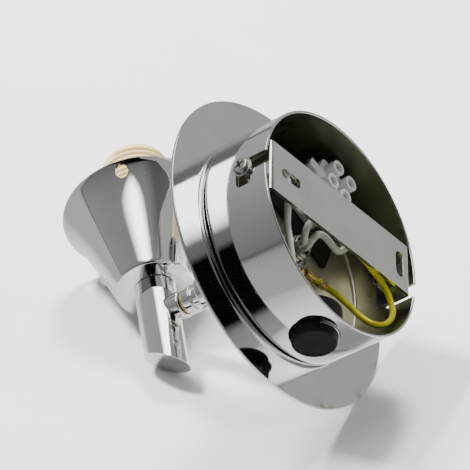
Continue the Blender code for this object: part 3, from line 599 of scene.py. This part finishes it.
def endTree(tree, geometry, entry, out):  # every tree ends in plain faces with a material
    real = addNode(tree, "GeometryNodeRealizeInstances", {0: geometry}).outputs[0]
    dressed = addNode(tree, "GeometryNodeSetMaterial", {"Geometry": real, "Material": entry["Material"]})
    tree.links.new(dressed.outputs[0], out[0])
    return tree


def threadTree():  # a round ridge that climbs in a helix
    tree, entry, out = newTree("threadRidge", [
        ("Radius", "NodeSocketFloat", 5.0), ("Pitch", "NodeSocketFloat", 1.0),
        ("Turns", "NodeSocketFloat", 4.0), ("Ridge", "NodeSocketFloat", 0.3),
        ("Steps", "NodeSocketInt", 48), ("Material", "NodeSocketMaterial", None),
    ])
    climb = mathOf(tree, "MULTIPLY", entry["Pitch"], entry["Turns"])
    line = addNode(tree, "GeometryNodeCurveSpiral", {
        "Resolution": entry["Steps"], "Rotations": entry["Turns"],
        "Start Radius": entry["Radius"], "End Radius": entry["Radius"], "Height": climb,
    }).outputs[0]
    section = addNode(tree, "GeometryNodeCurvePrimitiveCircle", {"Resolution": 10, "Radius": entry["Ridge"]})
    tube = addNode(tree, "GeometryNodeCurveToMesh", {
        "Curve": line, "Profile Curve": section.outputs[0], "Fill Caps": True,
    }).outputs[0]
    soft = addNode(tree, "GeometryNodeSetShadeSmooth", {"Geometry": tube}).outputs[0]
    return endTree(tree, soft, entry, out)


def clusterTree():  # copies of one mesh on a two by two grid, each turned its own way
    tree, entry, out = newTree("screwCluster", [
        ("Along", "NodeSocketFloat", 8.0), ("Across", "NodeSocketFloat", 9.0),
        ("Seed", "NodeSocketInt", 5), ("Screw", "NodeSocketObject", None),
        ("Material", "NodeSocketMaterial", None),
    ])
    grid = addNode(tree, "GeometryNodeMeshGrid", {
        "Size X": entry["Along"], "Size Y": entry["Across"], "Vertices X": 2, "Vertices Y": 2,
    }).outputs[0]
    screw = addNode(tree, "GeometryNodeObjectInfo", {"Object": entry["Screw"]}).outputs["Geometry"]
    angle = addNode(tree, "FunctionNodeRandomValue", {2: 0.0, 3: math.pi, "Seed": entry["Seed"]}).outputs[1]
    turn = addNode(tree, "ShaderNodeCombineXYZ", {2: angle}).outputs[0]
    placed = addNode(tree, "GeometryNodeInstanceOnPoints", {
        "Points": grid, "Instance": screw, "Rotation": turn,
    }).outputs[0]
    return endTree(tree, placed, entry, out)


def grow(name, tree, place, material, **values):
    seed = bpy.data.objects.new(name, bpy.data.meshes.new(name))
    bpy.context.scene.collection.objects.link(seed)
    modifier = seed.modifiers.new("Grow", "NODES")
    modifier.node_group = tree
    sockets = {item.name: item.identifier for item in tree.interface.items_tree if item.in_out == "INPUT"}
    for label, value in {**values, "Material": material}.items():
        modifier[sockets[label]] = value
    settle(seed)
    seed.data.transform(Matrix.Scale(mm, 4) @ place)
    if not seed.data.materials:
        seed.data.materials.append(material)
    return seed


ridgeTree = threadTree()
gridTree = clusterTree()


def thread(name, place, start, end, outer, pitch, ridge, material, steps=48):
    turns = (end - start - 2 * ridge) / pitch
    lifted = place @ Matrix.Translation((0, 0, start + ridge))
    return grow(
        name, ridgeTree, lifted, material,
        Radius=outer - ridge, Pitch=pitch, Turns=turns, Ridge=ridge, Steps=steps,
    )


arm = {
    "nipple": 4.9, "bore": 3.4, "pitch": 1.0, "ridge": 0.42, "threadDepth": 0.45, "neck": 4.5, "stud": 2.8,
    "hole": 5.2, "nutAcross": 14.0, "nutTurn": 12, "sleeveBore": 4.8, "sleeveFloor": 2.0,
    "collarHead": 4.3, "collarBore": 3.8, "collarFloor": 2.2, "bossOverlap": 3.0,
}
drum = {
    "wall": 1.1, "fillet": 2.3, "lip": 0.4,
    "mouth": 6.8, "leg": 6.8, "rightMouth": 3.3, "rightDrop": 5.4, "leftMouth": -4.9, "leftRise": 11.8,
    "legDepth": 10.5, "legCorner": 2.0, "buttonHole": 9.7,
}


def armHole(low, high):
    hole = arm["hole"]
    return turned("armHole", [(0, low), (hole, low), (hole, high), (0, high)], armPlace, steps=64)


def makeDrum():
    low, high = boxOf("drum_cup")
    radius = (high.x - low.x) / 2
    depth = depthsOf("drum_cup")[1]
    inner = radius - drum["wall"]
    lip = drum["lip"]
    outline = rounded([
        (0, depth, 0), (radius, depth, drum["fillet"]), (radius, 0, lip), (inner, 0, lip),
        (inner, depth - drum["wall"], drum["fillet"] - drum["wall"]), (0, depth - drum["wall"], 0),
    ], steps=8)
    cup = turned("drumCup", outline, wallPlace, chrome, steps=256)
    half = drum["mouth"] / 2
    tools = []
    for side, mouth, legLow, legHigh in (
        (1, drum["rightMouth"], -half - drum["rightDrop"], half),
        (-1, drum["leftMouth"], -half, half + drum["leftRise"]),
    ):
        near, far = sorted((side * (inner - 5), side * (radius + 1)))
        middle = drum["legDepth"]
        tools.append(bar("mouthCut", (near, mouth - half, -1), (far, mouth + half, middle), wallPlace))
        tools.append(bar(
            "legCut", (near, mouth + legLow, middle - drum["leg"] / 2),
            (far, mouth + legHigh, middle + drum["leg"] / 2), wallPlace, bevel=drum["legCorner"], edges="x",
        ))
    buttonDepth = sum(depthsOf("switch_button")) / 2
    hole = drum["buttonHole"]
    holePlace = Matrix.Translation((0, -buttonDepth, -radius))
    tools.append(turned("buttonCut", [(0, -7), (hole, -7), (hole, 7), (0, 7)], holePlace, steps=96))
    tools.append(armHole(depth - 3, depth + 1))
    carve(cup, *tools)
    floor = depth - drum["wall"] / 2
    # the inner wall gets the darker metal (painted shade), the floor the lighter copy (painted light)
    dressInside(cup, wallPlace, lip, floor, lambda h: radius - drum["wall"] / 2, insidePaintedShade)
    dressInside(cup, wallPlace, floor - drum["wall"], floor, lambda h: radius - drum["wall"] / 2, insideFloorPaintedLight)
    standIn(cup, "drum_cup")


def makeDisc():
    low, high = boxOf("backplate_disc")
    back, front = depthsOf("backplate_disc")
    radius = (high.x - low.x) / 2
    outline = rounded([(0, front, 0), (radius, front, 0.6), (radius, back, 0.3), (0, back, 0)], steps=6)
    disc = turned("frontDisc", outline, wallPlace, chromeDisc, steps=256)
    standIn(carve(disc, armHole(back - 1, front + 1)), "backplate_disc")


switch = {"capFillet": 0.9, "dish": 0.25, "stem": 2.5, "stemLength": 7.0}


def makeSwitch():
    low, high = boxOf("switch_button")
    middle = (low + high) / 2
    radius = (high.x - low.x) / 2
    capHeight = high.z - low.z - switch["stemLength"]
    place = Matrix.Translation((0, middle.y, low.z))
    outline = rounded([
        (0, high.z - low.z, 0), (switch["stem"], high.z - low.z, 0.3), (switch["stem"], capHeight, 0),
        (radius, capHeight, 0.2), (radius, 0, switch["capFillet"]), (radius * 0.82, 0, 0.3),
        (radius * 0.80, switch["dish"], 0.15), (0, switch["dish"], 0),
    ])
    standIn(turned("switchCap", outline, place, black, steps=96), "switch_button")
    standIn(refinedCopy("switchClip", "switch_clip", nickel, 0.08), "switch_clip")
    standIn(refinedCopy("switchBody", "switch_body", black, 0.1), "switch_body")


makeDrum()
makeDisc()
makeSwitch()
print("drum, disc and switch ready")


strap = {
    "thickness": 1.4, "bend": 1.8, "tabWidth": 16.6, "edge": 0.22, "screwHole": 2.3,
    "longX": 30.7, "longLength": 11.4, "crossX": -36.1, "crossLength": 11.9, "slotWidth": 4.6,
}


def slotTool(x, up, length, width, lengthwise):
    size = (length, width) if lengthwise else (width, length)
    low = (x - size[0] / 2, up - size[1] / 2, -2)
    high = (x + size[0] / 2, up + size[1] / 2, 4)
    return bar("slotCut", low, high, wallPlace, bevel=width / 2 - 0.02, edges="z")


def makeStrap():
    low, high = boxOf("mounting_strap")
    half = high.x
    tabDepth = -low.y
    bend = strap["bend"]
    turn = [math.radians(-90 * step / 10) for step in range(11)]
    side = [(half, tabDepth), (half, bend + 0.4)]
    side += [(half - bend + bend * math.cos(a), bend + bend * math.sin(a)) for a in turn]
    side += [(half - bend - 0.4, 0)]  # keeps the flat beside the bend flat when shaded
    line = side + [(-x, depth) for x, depth in reversed(side)]
    shape = bmesh.new()
    rows = [[shape.verts.new((x, up, depth)) for x, depth in line] for up in (low.z, high.z)]
    for i in range(len(line) - 1):
        shape.faces.new((rows[0][i], rows[1][i], rows[1][i + 1], rows[0][i + 1]))
    piece = pieceFrom("mountingStrap", shape, wallPlace, nickel)
    solid = piece.modifiers.new("Thickness", "SOLIDIFY")
    solid.thickness = strap["thickness"] * mm
    solid.use_even_offset = True
    inward = piece.data.polygons[len(line) // 2].normal.y < 0
    solid.offset = 1.0 if inward else -1.0
    settle(piece)
    middle = (low.z + high.z) / 2
    tools = []
    screwDepth = -sum(corner.y for corner in boxOf("cover_screw_right")) / 2
    for sign in (-1, 1):
        near, far = sorted((sign * (half - strap["thickness"] - 1), sign * (half + 1)))
        top = (far, high.z + 1, tabDepth + 1)
        tools.append(bar("reliefCut", (near, low.z + strap["tabWidth"], bend + 0.3), top, wallPlace))
        across = wallPlace @ Matrix.Translation((sign * half, middle, screwDepth))
        across = across @ Matrix.Rotation(math.pi / 2, 4, "Y")
        hole = strap["screwHole"]
        tools.append(turned("screwCut", [(0, -3), (hole, -3), (hole, 3), (0, 3)], across, steps=40))
    tools.append(slotTool(strap["longX"], middle, strap["longLength"], strap["slotWidth"], True))
    tools.append(slotTool(strap["crossX"], middle, strap["crossLength"], strap["slotWidth"], False))
    carve(piece, *tools)
    softenEdges(piece, strap["edge"])
    standIn(piece, "mounting_strap")


def hexNut(name, across, bottom, top, bore, place, material):
    corner = across / math.sqrt(3)
    flat = across / 2
    chamfer = (corner - flat) * 0.55
    outline = rounded([
        (bore, top - 0.3, 0), (bore + 0.3, top, 0), (flat * 0.97, top, 0), (corner, top - chamfer, 0),
        (corner, bottom + chamfer, 0), (flat * 0.97, bottom, 0), (bore + 0.3, bottom, 0),
        (bore, bottom + 0.3, 0),
    ])
    blank = turned(name, outline, place, material, steps=96)
    sides = [(0, bottom - 1), (corner, bottom - 1), (corner, top + 1), (0, top + 1)]
    prism = turned("hexTool", sides, place, steps=6)
    return carve(blank, prism, operation="INTERSECT")


def screwPlace(side, x, height, depth):  # local z points outward along the strap
    turn = Matrix.Rotation(math.radians(90 * side), 4, "Y")
    return Matrix.Translation((x, -depth, height)) @ turn


coverScrew = {
    "length": 14.5, "shank": 2.0, "flange": 4.1, "flangeHeight": 0.9, "head": 3.4, "headHeight": 1.9,
    "recessTurn": 20, "recessReach": 2.1, "recessHalf": 0.42, "recessDepth": 1.4,
    "pitch": 0.7, "ridge": 0.26, "threadDepth": 0.25, "nutAcross": 8.0, "nutBore": 2.3,
}


def makeCoverScrew(side, sideName):
    low, high = boxOf(f"cover_screw_{sideName}")
    middle = (low + high) / 2
    seatX = (high.x if side > 0 else low.x) - side * (coverScrew["flangeHeight"] + coverScrew["headHeight"])
    place = screwPlace(side, seatX, middle.z, -middle.y)
    flangeTop = coverScrew["flangeHeight"]
    headTop = flangeTop + coverScrew["headHeight"]
    head, flange, length = coverScrew["head"], coverScrew["flange"], coverScrew["length"]
    core = coverScrew["shank"] - coverScrew["threadDepth"]
    outline = rounded([
        (0, headTop, 0), (head * 0.5, headTop - 0.06, 0), (head, headTop - 0.35, 0.8),
        (head, flangeTop, 0.15), (flange, flangeTop - 0.1, 0.25), (flange, 0, 0.2),
        (core, 0, 0), (core, 0.4 - length, 0), (0, -length, 0),
    ], steps=4)
    screw = turned("coverScrew", outline, place, steel, steps=72)
    arms = []
    reach, half, deep = coverScrew["recessReach"], coverScrew["recessHalf"], coverScrew["recessDepth"]
    for angle in (coverScrew["recessTurn"], coverScrew["recessTurn"] + 90):
        turn = place @ Matrix.Rotation(math.radians(angle), 4, "Z")
        arms.append(bar("recess", (-reach, -half, headTop - deep), (reach, half, headTop + 1), turn))
    screw = carve(screw, *arms)
    ridge = thread(
        "ridge", place, 1.0 - length, -0.6, coverScrew["shank"], coverScrew["pitch"], coverScrew["ridge"],
        steel, 24,
    )
    standIn(join(f"coverScrew_{sideName}", screw, ridge), f"cover_screw_{sideName}")
    node = f"tab_nut_{sideName}"
    low, high = boxOf(node)
    nutPlace = screwPlace(side, (low.x + high.x) / 2, middle.z, -middle.y)
    half = (high.x - low.x) / 2
    across, bore = coverScrew["nutAcross"], coverScrew["nutBore"]
    standIn(hexNut(f"tabNut_{sideName}", across, -half, half, bore, nutPlace, steel), node)


makeStrap()
makeCoverScrew(1, "right")
makeCoverScrew(-1, "left")
print("strap and cover screws ready")


def ring(name, node, inner, outer, fillet, place, material, steps=96):
    back, front = depthsOf(node)
    corners = ((inner, front), (outer, front), (outer, back), (inner, back))
    outline = rounded([(radius, height, fillet) for radius, height in corners])
    piece = turned(name, outline, place, material, steps)
    standIn(piece, node)
    return piece


def makeArm():
    back, front = depthsOf("nipple")
    core = arm["nipple"] - arm["threadDepth"]
    outline = rounded([
        (arm["bore"], front, 0.2), (core, front, 0.2), (core, back, 0.2), (arm["bore"], back, 0.2),
    ])
    tube = turned("nippleTube", outline, armPlace, steel)
    ridge = thread(
        "nippleRidge", armPlace, back + 0.4, front - 0.2, arm["nipple"], arm["pitch"], arm["ridge"], steel,
    )
    standIn(join("threadedTube", tube, ridge), "nipple")
    low, high = boxOf("lock_washer")
    ring("lockWasher", "lock_washer", arm["hole"], (high.x - low.x) / 2, 0.15, armPlace, steel)
    back, front = depthsOf("inner_nut")
    nutPlace = armPlace @ Matrix.Rotation(math.radians(arm["nutTurn"]), 4, "Z")
    nut = hexNut("innerNut", arm["nutAcross"], back, front, arm["hole"], nutPlace, steel)
    standIn(nut, "inner_nut")

    back, front = depthsOf("arm_sleeve")
    low, high = boxOf("arm_sleeve")
    radius = (high.x - low.x) / 2
    outline = rounded([
        (arm["sleeveBore"], front, 0.3), (radius, front, 0.9), (radius, back, 0.2), (arm["hole"], back, 0),
        (arm["hole"], front - arm["sleeveFloor"], 0), (arm["sleeveBore"], front - arm["sleeveFloor"], 0),
    ], steps=8)
    standIn(turned("armSleeve", outline, armPlace, chrome), "arm_sleeve")

    back, front = depthsOf("arm_collar")
    low, high = boxOf("arm_collar")
    radius = (high.x - low.x) / 2
    shoulder = front - arm["collarHead"]
    floor = front - arm["collarFloor"]
    outline = rounded([
        (arm["stud"], front, 0), (radius, front, 0.8), (radius, shoulder, 0.5), (arm["neck"], shoulder, 0.3),
        (arm["neck"], back, 0), (arm["collarBore"], back, 0), (arm["collarBore"], floor, 0),
        (arm["stud"], floor, 0),
    ], steps=8)
    standIn(turned("armCollar", outline, armPlace, chrome), "arm_collar")
    low, high = boxOf("swivel_washer")
    ring("swivelWasher", "swivel_washer", arm["stud"], (high.x - low.x) / 2, 0.2, armPlace, brass)

    back = depthsOf("arm_boss")[0]
    low, high = boxOf("arm_boss")
    radius = (high.x - low.x) / 2
    into = -headOrigin.y - arm["bossOverlap"]  # ends inside the post, so the joint line is closed
    outline = rounded([
        (arm["stud"], into, 0), (radius, into, 0), (radius, back, 0.8), (arm["stud"], back, 0.2),
    ], steps=8)
    standIn(turned("swivelBoss", outline, armPlace, chrome), "arm_boss")
    standIn(refinedCopy("swivelStud", "swivel_stud", steel, 0.1), "swivel_stud")


makeArm()
print("arm ready")


head = {
    "post": 8.44, "postTop": 12.0, "foot": -27.1, "cut": 34.6, "bore": 5.2, "boreFloor": -6.0,
    "bellBottom": 12.3, "bellHeight": 42.5, "bellWall": 0.9, "bellFloor": 1.2,
    "bottomRadius": 15.65, "grow": 14.28, "flare": 2.17, "power": 8,
    "rimHoles": 3, "rimHole": 2.6, "rimHoleBelow": 3.7, "rimHoleTurn": 23.5,
}


def makePost():
    radius, foot = head["post"], head["foot"]
    outline = rounded([
        (head["bore"], head["postTop"], 0), (radius, head["postTop"], 0.25), (radius, foot, 0.3),
        (0, foot, 0), (0, head["boreFloor"], 0), (head["bore"], head["boreFloor"], 0),
    ])
    shape = turnedShape(outline, 160)
    slope = math.tan(math.radians(head["cut"]))
    for vertex in shape.verts:
        if vertex.co.z < foot + 1:
            vertex.co.z -= slope * vertex.co.y  # longest on the wall side
    standIn(pieceFrom("slantedPost", shape, headPlace, chrome), "post")


def bellRadius(share):
    return head["bottomRadius"] + head["grow"] * share + head["flare"] * share ** head["power"]


def makeBell():
    bottom, height, wall = head["bellBottom"], head["bellHeight"], head["bellWall"]
    steps = 48
    shares = [step / steps for step in range(steps + 1)]
    lip = wall / 2
    sloped = [s for s in shares if height * (1 - s) > lip and height * s > 0.8]
    outer = [(bellRadius(s), bottom + height * s) for s in sloped]
    rim = bellRadius(1) - lip
    curl = [(rim + lip * math.cos(a), bottom + height - lip + lip * math.sin(a))
            for a in (math.pi * step / 8 for step in range(9))]
    inner = [(r - wall, h) for r, h in reversed(outer) if h > bottom + head["bellFloor"] + 0.4]
    first = bellRadius(0)
    foot = [(first - 0.45, bottom), (first - 0.20, bottom + 0.08), (first - 0.02, bottom + 0.28)]
    floorTop = bottom + head["bellFloor"]
    hole = head["bore"]
    outline = [(hole, bottom)] + foot + outer + curl + inner
    outline += [(first - wall - 0.3, floorTop), (hole, floorTop)]
    bell = turned("bellCup", outline, headPlace, chrome, steps=256)
    tools = []
    for index in range(head["rimHoles"]):
        turn = math.radians(head["rimHoleTurn"] + 360 / head["rimHoles"] * index)
        holeHeight = bottom + height - head["rimHoleBelow"]
        spot = Matrix.Rotation(turn, 4, "Z") @ Matrix.Translation((0, 0, holeHeight))
        place = headPlace @ spot @ Matrix.Rotation(math.pi / 2, 4, "Y")
        size = head["rimHole"]
        tools.append(turned("holeCut", [(0, 24), (size, 24), (size, 36), (0, 36)], place, steps=48))
    carve(bell, *tools)
    low, high = bottom + head["bellFloor"] / 2, bottom + height - lip
    # the bell's inside gets the darker metal: painted shade
    dressInside(bell, headPlace, low, high, lambda h: bellRadius((h - bottom) / height) - wall / 2, insidePaintedShade)
    standIn(bell, "bell_cup")


holder = {
    "radius": 14.0, "thread": 40.0, "pitch": 2.5, "ridge": 0.9, "base": 10.5, "bottom": 16.8,
    "bore": 8.3, "boreFloor": 48.0, "cableBore": 3.4, "sunk": 1.35,  # core below the crest, in ridges
    "shell": 7.9, "shellWall": 0.5, "shellBottom": 56.0, "shellTop": 77.0, "waves": 6, "waveDepth": 0.30,
    "nutAcross": 14.0, "nutHeight": 3.0, "nutGap": 0.3,
}


def makeLampholder():
    top = headTop
    radius = holder["radius"]
    core = radius - holder["ridge"] * holder["sunk"]
    start = top - holder["thread"]
    outline = rounded([
        (holder["bore"], top, 0.5), (core, top, 0.9), (core, start, 0.4), (holder["base"], start, 0.3),
        (holder["base"], holder["bottom"], 0.9), (holder["cableBore"], holder["bottom"], 0),
        (holder["cableBore"], holder["boreFloor"], 0),
        (holder["bore"], holder["boreFloor"], 0),
    ])
    body = turned("holderBody", outline, headPlace, cream)
    ridge = thread(
        "holderRidge", headPlace, start + 1.0, top - 2.2, radius, holder["pitch"], holder["ridge"], cream, 96,
    )
    standIn(join("lampholderBody", body, ridge), "lampholder_body")
    outer, shellTop, shellBottom = holder["shell"], holder["shellTop"], holder["shellBottom"]
    waves = holder["waves"]
    steps = waves * 8
    plainEnd = 0.6
    shellOutline = [(outer, shellTop)]
    for step in range(steps + 1):
        share = step / steps
        h = shellTop - plainEnd - (shellTop - shellBottom - 2 * plainEnd) * share
        dip = holder["waveDepth"] * (1 - math.cos(2 * math.pi * waves * share)) / 2
        shellOutline.append((outer - dip, h))
    shellOutline.append((outer, shellBottom))
    shellOutline += [(r - holder["shellWall"], h) for r, h in reversed(shellOutline)]
    standIn(turned("screwShell", shellOutline, headPlace, brass, steps=96), "lampholder_shell")
    standIn(refinedCopy("centreContact", "lampholder_contact", brass, 0.1), "lampholder_contact")
    standIn(refinedCopy("holderTube", "bell_nipple", steel, 0.1), "bell_nipple")
    nutBottom = head["bellBottom"] + head["bellFloor"] + holder["nutGap"]
    nutTop = nutBottom + holder["nutHeight"]
    nut = hexNut("holderNut", holder["nutAcross"], nutBottom, nutTop, head["bore"], headPlace, steel)
    standIn(nut, "holder_nut")


makePost()
makeBell()
makeLampholder()
print("head ready")


block = {
    "x": -10.1, "up": 29.7, "turn": 21.7, "width": 17.0, "length": 18.5,
    "along": 4.1, "across": 4.6, "screw": 1.7,
}
wire = {"white": 1.35, "earth": 1.2, "sides": 24, "step": 0.8, "pairHalf": 1.55, "armEnd": 59.5}


def blockPoint(along, across):
    turn = math.radians(block["turn"])
    x = block["x"] + along * math.cos(turn) - across * math.sin(turn)
    up = block["up"] + along * math.sin(turn) + across * math.cos(turn)
    return x, up


def blockEntry(along, depth):  # square into the block's long side, and a little way inside
    face = -block["width"] / 2 - 0.6
    return [(*blockPoint(along, face - reach), depth) for reach in (4.0, 2.0, 0.0, -1.6)]


def smoothRoute(points, step):
    guides = [Vector(point) for point in points]
    guides = [2 * guides[0] - guides[1]] + guides + [2 * guides[-1] - guides[-2]]
    dense = []
    for i in range(1, len(guides) - 2):
        before, start, end, after = guides[i - 1: i + 3]
        count = max(2, round((end - start).length / step))
        for k in range(count):
            t = k / count
            bend = (2 * before - 5 * start + 4 * end - after) * t ** 2
            twist = (3 * start - before - 3 * end + after) * t ** 3
            dense.append((2 * start + (end - before) * t + bend + twist) / 2)
    dense.append(guides[-2])
    return dense


def sweptTube(name, points, radius, place, material, startTurn=0.0):
    route = smoothRoute(points, wire["step"])
    sides = wire["sides"]
    shape = bmesh.new()
    uvLayer = shape.loops.layers.uv.new("along")
    heading = (route[1] - route[0]).normalized()
    normal = heading.orthogonal().normalized()
    normal.rotate(Matrix.Rotation(startTurn, 3, heading))
    rings, travelled, lengths = [], 0.0, []
    last = len(route) - 1
    for i, point in enumerate(route):
        ahead = (route[min(i + 1, last)] - route[max(i - 1, 0)]).normalized()
        normal = (normal - ahead * normal.dot(ahead)).normalized()
        side = ahead.cross(normal)
        if i:
            travelled += (point - route[i - 1]).length
        lengths.append(travelled)
        angles = [2 * math.pi * k / sides for k in range(sides)]
        rings.append([
            shape.verts.new(point + (normal * math.cos(a) + side * math.sin(a)) * radius) for a in angles
        ])
    for i in range(last):
        for k in range(sides):
            n = (k + 1) % sides
            face = shape.faces.new((rings[i][k], rings[i][n], rings[i + 1][n], rings[i + 1][k]))
            spots = ((k, i), (k + 1, i), (k + 1, i + 1), (k, i + 1))
            for loop, (turn, row) in zip(face.loops, spots):
                loop[uvLayer].uv = (turn / sides, lengths[row] / 10)
    shape.faces.new(rings[0][::-1])
    shape.faces.new(rings[-1])
    return pieceFrom(name, shape, place, material)


def makeWires():
    side, front = wire["pairHalf"], wire["armEnd"]
    up = armUp
    standIn(sweptTube("lampLiveWire", [
        (-side, up, front), (-side, up, 40), (-side, up, 26), (-side, up, 18.4),
        (-1.2, up + 1.4, 15.8), (-2.6, 2.7, 13.9), (-5.4, 3.6, 13.1), (-9.2, 2.6, 13.0),
        (-13.4, 1.5, 13.1), (-15.9, 2.2, 12.0), (-16.8, 5.2, 10.4), (-17.3, 9.6, 10.6),
        (-14.6, 13.6, 15.0), *blockEntry(-4.1, 20.5),
    ], wire["white"], wallPlace, silicone), "lamp_live_wire")
    standIn(sweptTube("lampNeutralWire", [
        (side, up, front), (side, up, 40), (side, up, 26), (side, up, 18.4),
        (2.6, up - 0.4, 16.0), (4.6, up + 0.2, 14.2), (5.0, 1.4, 12.6), (3.0, 5.6, 11.4),
        (0.8, 9.8, 11.4), (-0.6, 14.2, 15.0), *blockEntry(4.1, 20.5),
    ], wire["white"], wallPlace, silicone), "lamp_neutral_wire")
    buttonDepth = sum(depthsOf("switch_button")) / 2
    switchTop = boxOf("switch_body")[1].z
    blockEnd = block["length"] / 2 + 0.6
    standIn(sweptTube("switchWire", [
        (5.0, switchTop - 0.5, buttonDepth + 1.5), (5.0, switchTop + 3.3, buttonDepth + 1.5),
        (9.4, switchTop + 9.8, 15.4), (13.6, -16.6, 13.6), (15.7, -11.4, 12.9), (18.0, -6.2, 12.0),
        (21.4, -3.2, 9.2), (23.4, 0.6, 7.4), (23.8, 5.4, 7.4), (21.5, 11.0, 9.0),
        (18.5, 18.0, 12.5), (16.8, 26.0, 15.0), (11.6, 31.2, 18.0),
        *[(*blockPoint(blockEnd + reach, -4.4), 20.0) for reach in (5.0, 2.0, 0.0, -1.6)],
    ], wire["white"], wallPlace, silicone), "switch_wire")


crimp = {
    "barrelEnd": -22.0, "barrelStart": -10.4, "drop": 3.0, "radius": 1.9, "ringOuter": 8.2,
    "thickness": 0.8, "gap": 0.3, "tongueHalf": 1.7, "tongueEnd": -6.4,
}


def crimpSection(name, start, end, radius, place):  # rolled barrel with a seam where its wings meet
    shape = bmesh.new()
    sides, rows = 40, []
    for along, grow in ((start, 0.82), (start + 0.25, 1.0), (end - 0.25, 1.0), (end, 0.82)):
        row = []
        for k in range(sides):
            angle = 2 * math.pi * k / sides
            off = (angle - math.pi) / 0.30
            size = radius * grow * (1 - 0.42 * math.exp(-off * off))
            row.append(shape.verts.new((-math.cos(angle) * size, math.sin(angle) * size, along)))
        rows.append(row)
    for first, second in zip(rows, rows[1:]):
        for k in range(sides):
            n = (k + 1) % sides
            shape.faces.new((first[k], first[n], second[n], second[k]))
    shape.faces.new(rows[0])
    shape.faces.new(rows[-1])
    return pieceFrom(name, shape, place, brass)


def makeEarth():
    back = depthsOf("lock_washer")[0] - crimp["gap"]
    front = back - crimp["thickness"]
    barrelUp = armUp - crimp["drop"]
    barrelDepth = front - 0.9
    outline = rounded([
        (arm["hole"], back, 0.1), (crimp["ringOuter"], back, 0.15), (crimp["ringOuter"], front, 0.15),
        (arm["hole"], front, 0.1),
    ])
    eyelet = turned("eyelet", outline, armPlace, brass)
    start, end = crimp["barrelStart"], crimp["barrelEnd"]
    half = crimp["tongueHalf"]
    tongue = bar(
        "tongue", (start - 1.5, barrelUp - half, front), (crimp["tongueEnd"], barrelUp + half, back),
        wallPlace, brass, 0.2,
    )
    line = wallPlace @ Matrix.Translation((0, barrelUp, barrelDepth)) @ Matrix.Rotation(math.pi / 2, 4, "Y")
    wireCrimp = crimpSection("wireCrimp", start - 5.2, start, crimp["radius"] * 0.92, line)
    sleeveCrimp = crimpSection("sleeveCrimp", end, end + 3.6, crimp["radius"], line)
    cradle = bar(
        "cradle", (end, barrelUp - 1.2, barrelDepth + 1.15), (start, barrelUp + 1.2, barrelDepth + 1.75),
        wallPlace, brass, 0.2,
    )
    standIn(join("ringTerminal", eyelet, tongue, wireCrimp, sleeveCrimp, cradle), "earth_terminal")
    standIn(sweptTube("earthWire", [
        (start - 5.0, barrelUp, barrelDepth), (end + 3.4, barrelUp, barrelDepth),
        (end - 1.2, barrelUp - 0.1, barrelDepth - 0.1),
        (-26.4, -6.8, 23.7), (-30.2, -11.6, 20.4), (-33.0, -16.6, 17.2), (-34.8, -21.0, 13.0),
        (-36.4, -22.6, 8.8), (-38.2, -20.3, 6.6), (-39.3, -16.3, 6.2), (-38.4, -12.2, 6.3),
        (-36.0, -8.4, 6.3), (-32.2, -5.5, 6.2), (-26.6, -3.4, 6.2), (-22.0, -1.3, 6.5),
        (-17.7, 0.4, 7.0), (-14.8, 3.0, 8.2), (-11.4, 7.6, 9.0), (-8.0, 12.6, 11.5), *blockEntry(0, 15.5),
    ], wire["earth"], wallPlace, earth, startTurn=5.0), "earth_wire")


def makeBlock():
    standIn(refinedCopy("terminalBlock", "terminal_block", nylon, 0.35), "terminal_block")
    standIn(refinedCopy("insulatingSheet", "insulating_plate", fibre, 0.12), "insulating_plate")
    low, high = depthsOf("terminal_screw_1")
    outline = rounded([
        (0, low, 0), (block["screw"], low, 0.25), (block["screw"], high, 0.1), (0, high, 0),
    ])
    screw = pieceFrom("screwSeed", turnedShape(outline, 32), Matrix.Scale(1 / mm, 4), steel)
    slot = bar("slotCut", (-3, -0.3, low - 1), (3, 0.3, low + 0.8), Matrix.Scale(1 / mm, 4))
    carve(screw, slot)
    place = wallPlace @ Matrix.Translation((block["x"], block["up"], 0))
    place = place @ Matrix.Rotation(math.radians(block["turn"]), 4, "Z")
    screws = grow(
        "terminalScrews", gridTree, place, steel,
        Along=2 * block["along"], Across=2 * block["across"], Seed=5, Screw=screw,
    )
    bpy.data.objects.remove(screw, do_unlink=True)
    standIn(screws, *[f"terminal_screw_{index}" for index in range(1, 5)])


makeWires()
makeEarth()
makeBlock()
print("wiring ready")
